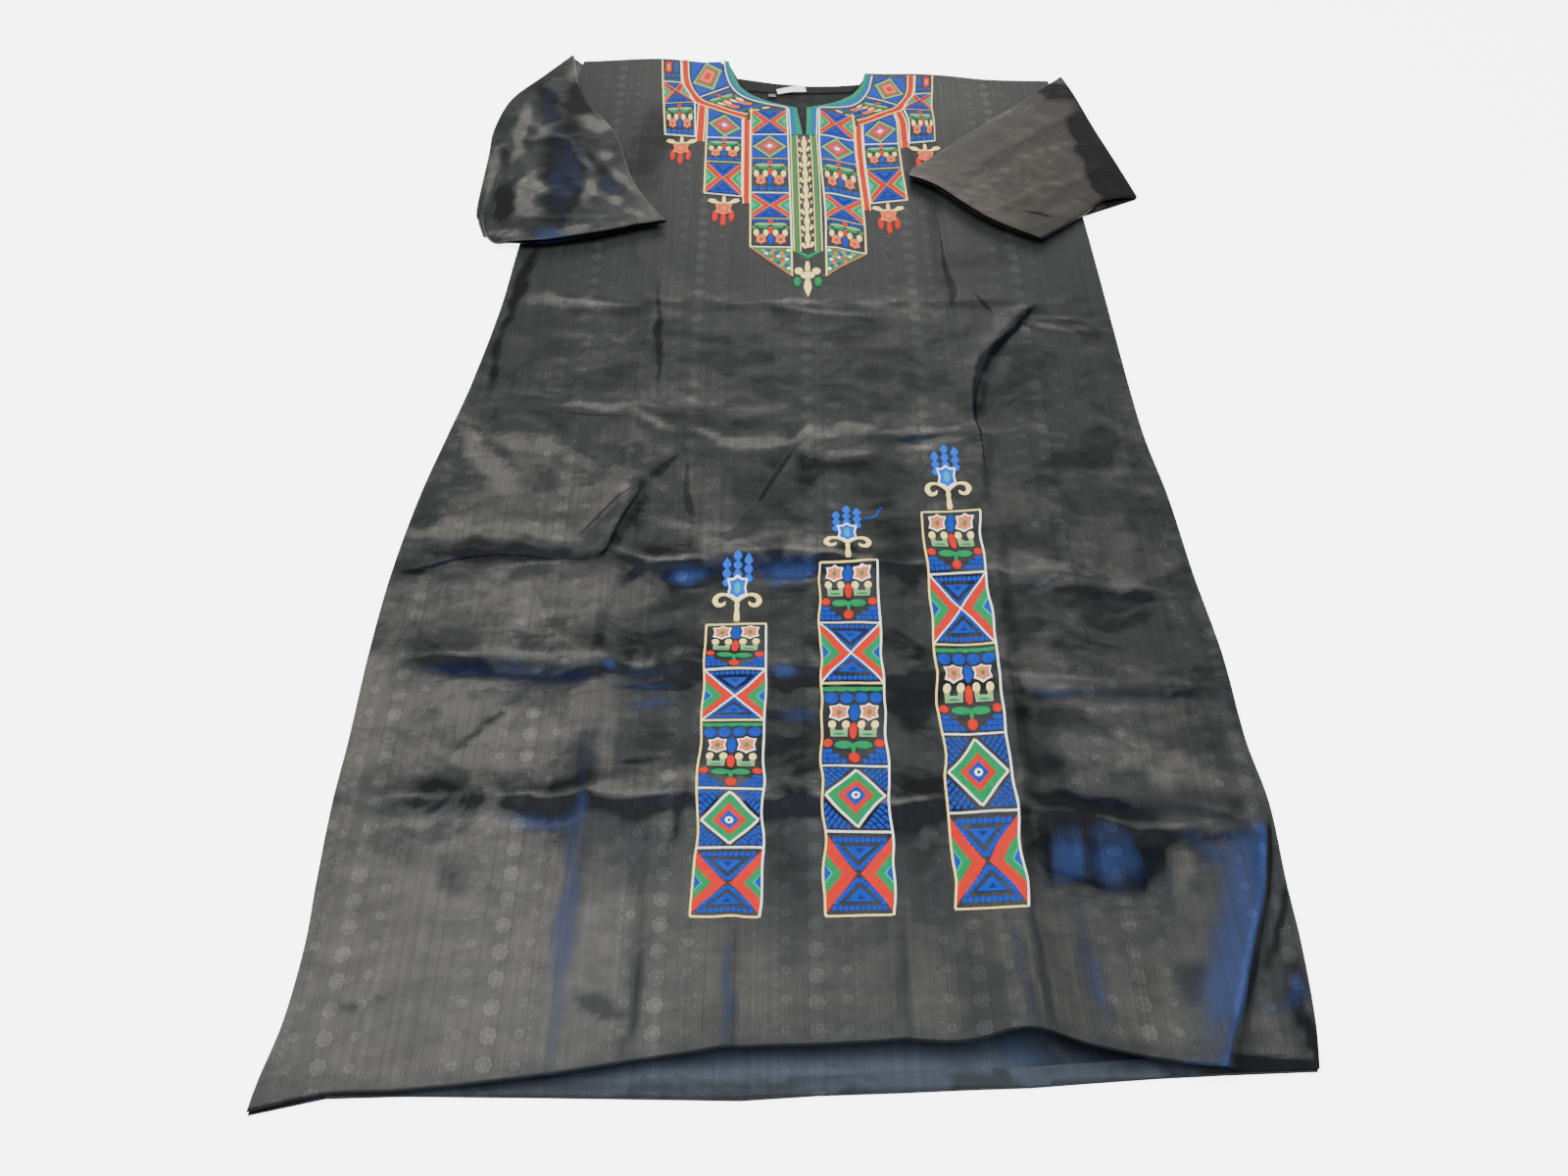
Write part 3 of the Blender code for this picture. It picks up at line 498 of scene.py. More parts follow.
# Painted light on the back's wrong side: painted shade inside the neck and under the front's hem,
# and a painted highlight and streaks of painted blue reflection along the hem.
BACK_PATCHES = patch_table(
    (0, 600, 180, 130, 0, -1.1), (150, -655, 35, 6, 97, 0, 1.1), (135, -640, 30, 4, 97, 0, 0.9),
    (-50, -670, 120, 8, 0, 0.4, 0.2), (215, -658, 85, 14, -6, -0.9, 0.35))
bm = flat_sheet(BACK_MESH, back_outline())
thicken(bm, WALL)
back = add_piece("back_cloth", bm, "black_satin", [WRONG_SIDE], "back")
lay_grain(back.data, corners(back.data)[:, :2])
mark_sheen(back.data, BACK_PATCHES, 0.3)


# The back's hem, neck facing and label.
# The hem is a turned strip sewn down all along, the facing a shaped strip that finishes the
# neckline, and the label a blank white tape sewn to it by its two ends.
TURNING_END = 0.352
TURNING_MESH = 0.006
FACING = metres(
    (74, 628.5), (45, 625), (10, 624), (-36, 631), (-84, 643.5), (-77.5, 615), (-20, 606),
    (64, 610))
LABEL_CORNERS = metres((-34, 615), (2.5, 623.2), (5.5, 609.8), (-32, 604.2))
TAB_CORNERS = metres((-44.5, 604.5), (-35, 603.5), (-34.5, 597), (-44, 598))
LABEL_CURL = 0.0014
LABEL_RIBS = 70.0
# Painted shade with a little painted blue reflection over the hem turning, and painted shade over
# the neck facing.
TURNED_PATCHES = patch_table((0, -675, 500, 20, 0, -0.35, 0.15))
FACING_PATCHES = patch_table((0, 620, 200, 60, 0, -1))


def trim_sheet(name, outlines, low, materials, slot, node, curl=0.0):
    """A thin strip with rounded edges, which may lift a little between its two ends."""
    bm = flat_sheet(TURNING_MESH, *outlines)
    thicken(bm, TRIM_WALL)
    rim = [edge for edge in bm.edges if edge.calc_face_angle(0.0) > 1.0]
    bmesh.ops.bevel(bm, geom=rim, offset=TRIM_WALL * 0.35, segments=2, profile=0.5,
                    affect="EDGES", material=-1)
    across = [place[0] for place in outlines[0]]
    for vert in bm.verts:
        share = (vert.co.x - min(across)) / (max(across) - min(across))
        vert.co.z += low + curl * sin(pi * min(max(share, 0.0), 1.0)) ** 2
    piece = add_piece(name, bm, slot, materials, node)
    soften(piece)
    lay_grain(piece.data, corners(piece.data)[:, :2])
    return piece


edge = [(x, across_line("back_hem", x) + SEAM_CLEARANCE)
        for x in list(ACROSS_LINES["x"][1:-1]) + [TURNING_END]]
inside = [(x, y + HEM_TURN) for x, y in edge[::-1]]
back_turning = trim_sheet("back_hem_turning", [edge + inside], BACK_TOP + GAP, [WRONG_SIDE],
                          "black_satin", "hem_back")
mark_sheen(back_turning.data, TURNED_PATCHES, 0.3)
facing = trim_sheet("back_neck_facing", [FACING], BACK_TOP + GAP, [WRONG_SIDE], "black_satin",
                    "neck_facing")
mark_sheen(facing.data, FACING_PATCHES, 0.2)

tape, shader, start = painted("white_label_tape", 0.65)
place = start.node("ShaderNodeTexCoord", output=3)
ribs = place.node("ShaderNodeTexWave", {"Vector": place, "Scale": LABEL_RIBS,
                                        "Distortion": 0.6, "Detail": 2.0}, 1)
worn = place.node("ShaderNodeTexNoise", {"Vector": place, "Scale": 160.0, "Detail": 3.0})
aside = place.node("ShaderNodeSeparateXYZ", {0: place})
tab = aside.maths("LESS_THAN", aside, TAB_CORNERS[2][0] + 0.0005)
white = start.plain((0.98, 0.98, 0.96)).mixed((0.8, 0.8, 0.78, 1.0), 0.4 * worn)
white.mixed((0.13, 0.13, 0.13, 1.0), tab).to(shader, "Base Color")
ribs.bump(0.0001, 0.4).to(shader, "Normal")
label = trim_sheet("blank_label", (LABEL_CORNERS, TAB_CORNERS), TRIM_TOP + GAP, [tape],
                   "white_label_tape", "label", LABEL_CURL)


# The front panel.
# A second piece of satin over the back, sewn to it at the sides and shoulders. It stands up a few
# millimetres between the seams, and keeps the pressed creases of its packing.
PUFF = 0.0045
PUFF_REACH = 0.13
SEAM_REACH = 0.03
HEM_CLEARANCE = 0.0016
HEM_REACH = 0.03
LIFT_REACH = 0.15
FADE_SHARE = 0.15
SETTLING_STEPS = 6
DOWN_CELLS = (("left", 36), ("crease_left", 36), ("middle", 32), ("crease_right", 50),
              ("pleat", 8))
ACROSS_CELLS = (("hem", 42), ("fold_5", 32), ("fold_4", 32), ("fold_3", 36), ("fold_2", 40),
                ("fold_1", 36), ("chest", 30))
GATHERED_SHARE = 0.45

# Creases on those lines: the ends of each one along its line, its height, and how far it reaches
# down or left of the line (before) and up or right of it (after).
LINE_CREASES = (
    ("fold_1", -0.31, 0.32, 0.0012, 0.014, 0.03), ("fold_2", -0.35, 0.33, 0.0012, 0.018, 0.036),
    ("fold_3", -0.375, -0.14, 0.0022, 0.018, 0.04), ("fold_3", -0.175, 0.09, 0.0056, 0.018, 0.046),
    ("fold_3", 0.04, 0.345, 0.003, 0.018, 0.04), ("fold_4", -0.372, 0.06, 0.0048, 0.018, 0.04),
    ("fold_4", 0.01, 0.355, 0.0028, 0.018, 0.036), ("fold_5", -0.377, 0.15, 0.0054, 0.024, 0.055),
    ("fold_5", 0.1, 0.362, 0.0032, 0.016, 0.05), ("crease_left", -0.68, 0.26, 0.005, 0.034, 0.024),
    ("crease_right", -0.66, 0.03, 0.0045, 0.042, 0.012),
    ("pleat", -0.76, -0.45, 0.0055, 0.06, 0.006))

# Creases on lines of their own, from one place to another with a sideways bow between them; a
# trough has a height below 0. Left and right are how far it reaches on either side of its way.
CREASES = crease_table(
    (171, -10, 256, 180, -20, 3.2, 36, 9), (158, 180, 159, 370, -2, -1.8, 16, 16),
    (-66, -700, -63, -520, 0, 3, 18, 10), (59, -700, 63, -540, 0, 2.4, 14, 12),
    (-191, -190, -139, -40, -3, 3, 16, 16), (-375, -204, -190, -181, 4, -2.2, 12, 10),
    (183, -495, 330, -495, -17, -3, 30, 30), (-330, -324, -180, -327, -4, -2, 12, 12),
    (-131, -53, -215, -182, 6, 2, 14, 16), (-152, -107, -191, -200, -4, -1.8, 10, 10),
    (-9, -40, -52, -132, 5, -1.8, 10, 12), (-20, -46, 75, -52, 18, 2.8, 20, 12),
    (-351, -4, -308, -107, 4, 2.6, 20, 22), (-149, -218, 8, -188, 4, 2.6, 10, 12),
    (-120, -226, -88, -222, 2, -2.4, 9, 9), (-44, -216, 8, -212, 2, -2.4, 10, 9),
    (176, -354, 355, -354, -3, -1.8, 10, 12), (190, -474, 186, -536, 2, -2.2, 10, 10),
    (224, -476, 222, -536, -2, -2.2, 10, 10), (261, -480, 258, -540, 2, -2.4, 11, 11),
    (-360, -628, -316, -615, -2, 1.6, 6, 8), (-243, -472, -186, -470, 3, -2.2, 10, 10),
    (196, -356, 232, -352, 3, 1.2, 6, 8), (236, 144, 326, 144, 4, 2.2, 10, 16),
    (-136, -489, -137, -650, 3, -1.4, 10, 10), (89, -36, 137, -44, 2, -2, 8, 8),
    (-282, 184, -174, 167, 4, 1.6, 8, 14), (-45, 172, 82, 150, 5, 1.8, 8, 14),
    (-210, 420, -190, 230, -6, 1.2, 20, 20), (-30, 130, -70, 10, 5, 1, 24, 24),
    (90, 130, 80, 0, -4, 1, 24, 24), (290, 60, 300, -60, 6, 1.4, 18, 20),
    (230, -110, 270, -200, -6, 1.4, 22, 18), (-270, -240, -230, -300, 4, 1.2, 18, 20),
    (-300, -520, -290, -640, 5, 1.4, 26, 22), (220, -560, 230, -640, -4, 1.6, 20, 20),
    (100, -570, 104, -650, 3, -1.4, 14, 12))
RIPPLES = ((0.085, 0.06, 0.0011), (0.04, 0.022, 0.0014), (0.018, 0.013, 0.0005))
CRUMPLED = table(
    0, "y amount",
    (0.7, 0.2), (0.25, 0.3), (0.12, 0.75), (-0.15, 1), (-0.45, 0.9), (-0.54, 0.4), (-0.7, 0.3))
CREST_ROUND = 0.0022
WAVER = 0.0075
WAVER_SIZE = 0.045
HEM_THICKENING = 0.0006
HEM_ROLL = 0.0018
HEM_GROOVE = (0.0133, 0.0012, 0.0006, 0.002)
# How much painted shade darkens the hem's rolled edge.
HEM_EDGE_SHADE = 1.2
HEM_STEP = {"x": -0.0655, "over": 0.0022, "reach": 0.02, "along": 0.09}

# The front's neckline with its short slit.
FRONT_NECK = metres(
    (-97, 680.5), (-89, 647), (-80, 618), (-67, 599), (-46, 582), (-20, 570), (-7.5, 566), (0, 503),
    (3, 503), (4.5, 566), (26, 573), (47, 584), (65, 601), (76, 623), (82.5, 654.5))
NECK_CUT_TOP = 0.72
NECK_CUT_SPREAD = 0.002
CUTTER_HEIGHTS = (-0.05, 0.1)

# Where the front's satin gets a painted brown-grey highlight (sheen above 0), where painted shade
# (below 0), and where a painted blue reflection.
FRONT_PATCHES = patch_table(
    (-300, -575, 170, 120, 0, 0.82), (-120, -600, 100, 90, 0, 0.36), (240, -600, 120, 90, 0, 0.22),
    (-300, -385, 120, 42, 0, 0.72), (-300, -245, 120, 36, 0, 0.85), (-310, -345, 110, 34, 0, 0.45),
    (-180, -390, 80, 50, 90, 0.3), (-385, -380, 120, 20, 90, 0.45), (-375, -312, 40, 14, 80, 0.5),
    (286, -514, 22, 9, 80, 0.8, -0.2), (-260, -100, 100, 50, 0, 0.24), (50, -610, 110, 45, 0, 0.22),
    (260, -610, 60, 40, 0, 0.2), (240, 20, 60, 110, 0, -0.2), (260, -290, 90, 45, 0, -0.25),
    (-135, -330, 110, 34, 90, -0.35, 0.12), (-20, -380, 190, 26, 90, -0.5, 0.1),
    (85, -340, 210, 24, 92, -0.5, 0.1), (190, -400, 110, 20, 95, -0.4),
    (20, -130, 110, 50, 0, -0.12), (-180, -80, 100, 50, 0, 0.22), (-200, -240, 60, 36, 0, 0.3),
    (-190, 470, 120, 30, 84, -0.45), (250, -190, 70, 36, 20, 0.08), (-10, 80, 200, 70, 0, -0.12),
    (-254, 178, 50, 11, -10, 1), (52, 171, 90, 8, -4, 0.55), (280, 136, 48, 3.5, 0, 1.1),
    (274, 155, 40, 3, 0, 0.6), (-230, 120, 45, 9, -6, 0.35), (-155, -10, 26, 6, -27, 1.2),
    (-213, 10.5, 46, 5.5, -4, 1.1), (-92, -31, 24, 6, -27, 1.3), (-43, -40.5, 42, 6.5, 3, 1.4),
    (-4, -30, 11, 5, 45, 1.2), (30, -23, 38, 9, 8, 1.1), (105, -26, 40, 5, 6, 0.9),
    (120, -43, 36, 5, 12, 0.8), (-320, -60, 60, 12, -57, 1.3), (-280, -40, 42, 14, -23, 0.8),
    (-325, -158, 56, 13, -4, 1.1), (-245, -163, 36, 9, -18, 0.9), (-130, -160, 60, 10, 4, 0.4),
    (-260, -306, 90, 3, -2, 0.7), (254, -407, 85, 17, -14, 0.8), (206, -286, 45, 8, 39, 0.5),
    (257, -226, 95, 5, -4, 0.4), (190, -335, 35, 8, 0, 0.8), (270, -472.5, 75, 2.8, -6, 0.4),
    (-280, -469, 95, 6, 0, 0.5), (-338, -621, 28, 2.5, 13, -0.8), (-277, -380, 36, 3, 46, -1.1),
    (-269, -386, 34, 4, 46, 0.6), (-166, -216, 16, 6, 60, -1.1, 0.3), (-184, -275, 40, 5, 86, -0.5),
    (-180, -360, 30, 12, 80, 0.3, 0.18), (-187, -420, 30, 6, 94, -0.5, 0.2),
    (-172, -400, 40, 8, 90, 0.4), (-133, -338, 30, 4, 0, -1.2, 0.3),
    (-132, -356, 22, 7, 0, 0, 0.34), (-138, -414, 22, 3, 0, -0.9), (-109, -472, 35, 3, -100, -0.9),
    (-131, -610, 50, 4, 84, -0.8), (-158, -622, 20, 7, -25, -1), (-285, -523, 14, 6, -40, -0.7),
    (-106, -216, 17, 10, 20, -0.2, 0.8), (-20, -213, 29, 12, 8, -0.2, 0.8),
    (-175, -318, 6, 6, 0, 0, 0.8), (-20, -323, 11, 7, 0, 0, 0.7), (205, -345, 30, 6, 0, -0.4, 0.3),
    (-15, -369, 18, 7, 0, -0.3, 0.4), (-216, -471, 32, 10, 0, -0.2, 0.5),
    (227, -456, 58, 10, -12, -0.8), (222, -495, 56, 36, -8, -1.1), (220, -503, 46, 24, -8, 0, 0.42),
    (199, -497, 24, 13, 80, 0, 0.5), (230, -502, 24, 8, 92, 0, 0.4), (248, -500, 24, 9, 97, 0, 0.5),
    (214.5, -494, 24, 3, 92, -0.5, -0.3), (269, -490, 20, 9, 76, -1.1, -0.3),
    (304, -495, 20, 17, 0, 0, 0.42), (340, -510, 40, 22, 66, 0.1, 0.36),
    (306, -585, 46, 20, 70, 0.1, 0.34), (200, -600, 60, 10, 95, 0, 0.24),
    (199, -620, 28, 14, 90, 0.1, 0.12), (164, -590, 60, 4, 92, -0.5, 0.1),
    (278, -606, 16, 12, 60, -0.8), (353, -608, 12, 8, 90, 0.2, 0.28),
    (334, -622, 22, 14, 20, 0, 0.3), (200, -570, 80, 30, 92, -0.15, 0.08),
    (122, -625, 50, 22, 90, -0.5), (245, -620, 60, 30, 90, 0.08, 0.12),
    (325, -664, 34, 5, -4, -1.8), (356, -640, 30, 5, 98, -1.2), (350, -560, 40, 4, 66, -1),
    (352, -600, 20, 12, 70, -0.7, 0.2), (330, -640, 24, 14, 90, 0.3),
    (-187, -560, 130, 9, 90, 0, 0.5), (-65, -615, 55, 6, 92, 0, 0.52),
    (150, -600, 60, 6, 96, -0.3, 0.34), (61, -610, 40, 5, 92, -0.3, 0.2),
    (-280, -446, 95, 12, 0, -0.5), (270, -449, 95, 11, 0, -0.35, 0.1),
    (-268, -190, 90, 5, -3, -0.6, 0.05), (-364, -206, 12, 3, 0, -1.2),
    (-158, 120, 100, 3.5, -86, -0.8), (-318, 205, 68, 7, 83, -1.1), (145, 440, 100, 22, 92, -0.4),
    (195, 250, 50, 20, 0, -0.35), (-328, 85, 60, 5.5, 89, -0.8), (157, 190, 60, 6, 90, -0.3),
    (-160, -132, 34, 6, 92, -0.5), (-196, -128, 50, 6, 57, 0.2), (-2, -85, 45, 10, 90, -0.4),
    (-136, -570, 85, 6, 90, -0.5, 0.1))


def crest(height, before, after, aside):
    """A pressed crease: a narrow crest that runs out with a soft foot on either side."""
    reach = np.where(aside > 0, after, before)
    aside = np.hypot(aside, CREST_ROUND) - CREST_ROUND
    return height * np.maximum(0.0, 1 - aside / reach) ** 2


def trough(depth, before, after, aside):
    """A soft round hollow, or a round ridge."""
    reach = np.where(aside > 0, after, before)
    return depth * np.cos(np.minimum(np.abs(aside) / reach, 1.0) * pi / 2) ** 2


def run_out(share):
    """A crease's height along its line, which fades at both ends."""
    return ramp(np.minimum(share, 1 - share) / FADE_SHARE)


def on_crease(x1, y1, x2, y2, bow, x, y):
    """How far a place is along a crease's own line, as a share, and how far to its right."""
    length = hypot(x2 - x1, y2 - y1)
    along = ((x - x1) * (x2 - x1) + (y - y1) * (y2 - y1)) / length ** 2
    aside = ((x - x1) * (y2 - y1) - (y - y1) * (x2 - x1)) / length
    share = np.clip(along, 0.0, 1.0)
    return along, aside - 4 * bow * share * (1 - share)


def crease_rise(creases, x, y):
    """The height that a table of creases adds at a place."""
    rise = np.zeros_like(x)
    for *way, height, left, right in zip(*creases.values()):
        along, aside = on_crease(*way, x, y)
        rise += run_out(along) * (crest if height > 0 else trough)(height, left, right, aside)
    return rise


def from_line(line, x, y):
    """How far a place is above or right of a crease's line, which wavers a little."""
    along, aside = (x, y - across_line(line, x)) if line in ACROSS_LINES else (
        y, x - down_line(line, y))
    if line == "pleat":
        return along, aside
    waver = np.array([noise.noise(Vector((at / WAVER_SIZE, len(line), ord(line[-1]) / 10)))
                      for at in np.ravel(along)])
    return along, aside - WAVER * waver.reshape(np.shape(along))


def line_crease_rise(x, y):
    rise = np.zeros_like(x)
    for line, start, end, height, before, after in LINE_CREASES:
        along, aside = from_line(line, x, y)
        rise += run_out((along - start) / (end - start)) * crest(height, before, after, aside)
    return rise


def crumpled(y):
    """How crumpled the front is at a height: the chest is smooth and the skirt is not."""
    return smooth(CRUMPLED, "y", "amount", y)


# The painted light across a crease, from its upper to its lower side: a soft band of painted shade,
# a fine painted highlight on the crest and a deeper band of painted shade with a little painted blue
# reflection. Each is its distance above the crest, its spread, and what it adds to the sheen and to
# the blue.
CREASE_BANDS = ((0.013, 0.009, -0.5, 0.0), (0.0012, 0.0028, 1.5, 0.0),
                (-0.009, 0.0085, -0.65, 0.08))
# Painted light along the pleat: a thin painted highlight and bands of painted blue reflection left
# of it, and a painted shadow line right of it.
PLEAT_BANDS = ((-0.0022, 0.0036, 0.1, 0.66), (-0.011, 0.013, 0.0, 0.36),
               (-0.027, 0.016, 0.0, 0.16), (0.003, 0.0018, -1.6, -0.6))
# Painted shade: a dark band beside each crease that runs down.
DARK_SIDE = (0.0022, 0.0022, -0.6)
CREASE_FULL = 0.0056
CREASE_NEAR = 0.03
CALM = 0.45
UNEVEN_SIZE = (0.05, 0.03, 3.1)
UNEVEN_SHARE = (0.65, 2.0, 1.3)


# Painted shade: sharp dark lines and strips in and beside creases, some tinted with a painted blue
# reflection. Each has a depth, which is how dark it is painted, how blue it is and its way as places
# with its width there, in millimetres.
LINES = (
    (1, 0.15, (256, 178, 3), (245, 164, 4.5), (231, 141, 6), (210, 113, 9), (189, 85, 13.5),
     (179, 59, 10.5), (172, 26, 5.8), (170, -5, 3.8), (172, -30, 3), (172, -70, 2.2),
     (172, -110, 1.8)),
    (0.65, 0, (157, 330, 2), (157, 260, 4), (159, 229, 6), (163, 195, 9), (157, 166, 3)),
    (0.65, 0, (204, 157, 2), (195, 173, 5.5), (185, 195, 2)),
    (0.55, 0, (236, 146, 2), (256, 146, 8), (290, 146, 8), (314, 144, 2)),
    (0.6, 0, (-154, -92, 5), (-143, -79, 7.6), (-126, -54, 2.2)),
    (0.75, 0, (-199, -195, 2), (-188, -186, 3.4), (-180, -160, 3), (-172, -136, 2.6),
     (-157, -92, 2)),
    (0.5, 0, (-216, -167, 2), (-195, -136, 3), (-163, -98, 2)),
    (0.45, 0, (-119, -58, 1.8), (-118, -104, 6), (-114, -132, 7.5), (-108, -142, 3)),
    (0.6, 0, (-11, -43, 2.4), (-29, -79, 5.8), (-44, -112, 4.2), (-50, -124, 2)),
    (0.65, 0, (-263, 5, 1), (-222, -1, 1.8), (-178, -5, 1)),
    (0.95, 1, (85, -40, 2), (100, -35, 6.8), (118, -34, 6), (137, -29, 1.4)),
    (0.9, 0.35, (-375, -209, 4), (-357, -202, 5), (-335, -194, 4), (-313, -190, 2.8),
     (-268, -189, 2), (-237, -192, 2.4), (-199, -194, 2.2)),
    (0.9, 0.85, (-150, -219, 4), (-120, -213, 15), (-80, -205, 22), (-40, -203, 24), (5, -204, 20),
     (34, -204, 4)),
    (0.9, 0.8, (-352, -314, 6), (-316, -319, 15), (-287, -321, 19), (-252, -325, 20),
     (-223, -329, 18), (-195, -329, 11), (-178, -324, 3)),
    (0.5, 0.4, (180, -478, 5), (177, -506, 6), (202, -519, 6), (220, -526, 6), (241, -531, 9),
     (255, -517, 13), (266, -496, 15), (268, -482, 12)),
    (0.45, 0.5, (188, -440, 4), (231, -453, 12), (297, -459, 12), (350, -469, 4)),
)
LINE_STEPS = 60
LINE_REACH = 0.007


def on_curve(places, at):
    """What a row of places comes to at shares of the way along it, on a smooth curve through
    them: one array for each number of a place."""
    rows = dict(enumerate(np.column_stack([np.arange(len(places)) / (len(places) - 1), places]).T))
    return [smooth(rows, 0, i, at) for i in range(1, len(rows))]


def line_marks(x, y):
    """The nearest painted shade line: how far aside it is in halves of its width, how dark it is
    painted and its painted blue.
    """
    line, shade_depths, blues = np.full_like(x, 9.0), np.zeros_like(x), np.zeros_like(x)
    nearest = np.full_like(x, np.inf)
    at = np.linspace(0, 1, LINE_STEPS)
    for depth, blue, *places in LINES:
        spot_x, spot_y, wide = on_curve(metres(*places), at)
        way_x, way_y = np.gradient(spot_x), np.gradient(spot_y)
        dx, dy = x[:, None] - spot_x, y[:, None] - spot_y
        step = np.argmin(dx ** 2 + dy ** 2, axis=1)
        dx, dy = (np.take_along_axis(side, step[:, None], 1)[:, 0] for side in (dx, dy))
        away = np.hypot(dx, dy)
        half = wide[step] / 2
        aside = np.where(way_x[step] * dy - way_y[step] * dx > 0, away, -away)
        near = (away - half < nearest) & (away < half + 2 * LINE_REACH)
        nearest = np.where(near, away - half, nearest)
        line = np.where(near, aside / half, line)
        shade_depths = np.where(near, depth * run_out(at[step])
                          * ramp(2 - (away - half) / LINE_REACH), shade_depths)
        blues = np.where(near, blue, blues)
    return {"line": line, "line_shade": shade_depths, "line_reflection_blue": blues}


def waves(x, y, across, along, level):
    """Soft unevenness at places, with its own size across and along."""
    return np.array([noise.noise(Vector((a / across, b / along, level))) for a, b in zip(x, y)])


def crease_turns(x, y):
    """The painted highlight, painted shade and painted blue reflection that the creases add, and how
    crumpled the cloth is.
    """
    turns = {name: np.zeros_like(x) for name in ("sheen", "blue", "crumple")}
    usual, change, most = UNEVEN_SHARE
    uneven = np.clip(usual + change * waves(x, y, *UNEVEN_SIZE), 0.0, most)

    def add(bands, fade, above):
        for middle, spread, sheen, blue in bands:
            band = fade * np.exp(-((above - middle) / spread) ** 2)
            turns["sheen"] += sheen * band
            turns["blue"] += blue * band

    def add_crease(above, share, height):
        fade = run_out(share) * min((height / CREASE_FULL) ** 2, 1.2)
        add(CREASE_BANDS, fade * uneven, above)
        turns["crumple"] = np.maximum(turns["crumple"], fade * np.exp(-(above / CREASE_NEAR) ** 2))

    for line, start, end, height, before, after in LINE_CREASES:
        along, above = from_line(line, x, y)
        share = (along - start) / (end - start)
        if line in ACROSS_LINES:
            add_crease(above, share, height)
        if line == "pleat":
            add(PLEAT_BANDS, run_out(share) * (0.75 + 0.3 * uneven), above)
    for x1, y1, x2, y2, bow, height, left, right in zip(*CREASES.values()):
        along, aside = on_crease(x1, y1, x2, y2, bow, x, y)
        if abs(x2 - x1) <= abs(y2 - y1):
            middle, spread, sheen = DARK_SIDE
            fade = run_out(along) * uneven * min((height / CREASE_FULL) ** 2 * 2, 1.2)
            add([(middle * np.sign(height), spread, sheen, 0.0)], fade, aside if y2 > y1 else -aside)
        elif height > 0:
            add_crease(-aside if x2 > x1 else aside, along, height)
    turns["crumple"] = crumpled(y) * (CALM + (1 - CALM) * np.clip(turns["crumple"], 0.0, 1.0))
    return turns


def ripples(x, y):
    """The cloth's own unevenness between its creases: soft waves, and wrinkles with sharp tops."""
    total = np.zeros_like(x)
    flat = [np.ravel(x), np.ravel(y)]
    for level, (across, along, height) in enumerate(RIPPLES):
        heights = waves(*flat, across, along, level * 7.3)
        heights = heights if level == 0 else 0.25 - np.abs(heights)
        total += np.reshape(heights, np.shape(x)) * height
    return total


def front_rise(x, y):
    """How high the front's underside stands over the back at a place, 0 off the body."""
    from_side = np.minimum(x - down_line("left", y), down_line("right", y) - x)
    from_shoulder = across_line("shoulder", x) - y
    from_hem = y - across_line("hem", x)
    seams = ramp(from_side / SEAM_REACH) * ramp(from_shoulder / SEAM_REACH)
    puff = PUFF * ramp(from_side / PUFF_REACH) * ramp(from_shoulder / PUFF_REACH)
    lift = across_line("lift", x) * (1 - ramp(from_hem / LIFT_REACH))
    over_turning = HEM_CLEARANCE * (1 - ramp((from_hem - HEM_TURN) / HEM_REACH))
    creases = (line_crease_rise(x, y) + crease_rise(CREASES, x, y)
               + ripples(x, y) * crumpled(y))
    step = HEM_STEP["over"] * (x < HEM_STEP["x"]) * np.exp(
        -((x - HEM_STEP["x"]) / HEM_STEP["reach"]) ** 2) * (1 - ramp(from_hem / HEM_STEP["along"]))
    inside = np.minimum(from_side, from_shoulder) >= -SEAM_CLEARANCE
    return (np.maximum(0.0, puff + seams * (creases + lift + step)) + over_turning) * inside


def stations(cells):
    """Places along a run of lines, closer together near each line, as line number and share."""
    places = []
    for line, (name, count) in enumerate(cells):
        share = np.arange(count) / count
        places.append(line + mix(share, 0.5 - 0.5 * np.cos(pi * share), GATHERED_SHARE))
    return np.append(np.concatenate(places), len(cells))


def between_lines(line, cells, last, station, at):
    names = [name for name, count in cells] + [last]
    number = np.minimum(station.astype(int), len(cells) - 1)
    values = np.stack([line(name, at) for name in names])
    low = np.take_along_axis(values, number[None], 0)[0]
    high = np.take_along_axis(values, number[None] + 1, 0)[0]
    return mix(low, high, station - number)


down, across = np.meshgrid(stations(DOWN_CELLS), stations(ACROSS_CELLS), indexing="ij")
x, y = np.zeros_like(down), np.zeros_like(down)
for step in range(SETTLING_STEPS):
    y = between_lines(across_line, ACROSS_CELLS, "shoulder", across, x)
    x = between_lines(down_line, DOWN_CELLS, "right", down, y)
under = BACK_TOP + GAP + front_rise(x, y)

bm = bmesh.new()
columns, rows = x.shape[0] - 1, x.shape[1] - 1
bmesh.ops.create_grid(bm, x_segments=columns, y_segments=rows, size=0.5)
for vert in bm.verts:
    i, j = round((vert.co.x + 0.5) * columns), round((vert.co.y + 0.5) * rows)
    vert.co = (x[i, j], y[i, j], under[i, j])
top = {vert for face in thicken(bm, WALL) for vert in face.verts}
groove_place, groove_half, groove_depth, groove_edge = HEM_GROOVE
for vert in bm.verts:
    from_hem = vert.co.y - float(across_line("hem", vert.co.x))
    if vert not in top:
        vert.co.y += HEM_ROLL * (abs(from_hem) < 1e-4)
        continue
    vert.co.z += HEM_THICKENING * (1 - float(ramp((from_hem - groove_place) / groove_edge)))
    vert.co.z -= groove_depth * max(0.0, 1 - abs(from_hem - groove_place) / groove_half)
front = add_piece("front_cloth", bm, "black_satin", [SATIN], "front")

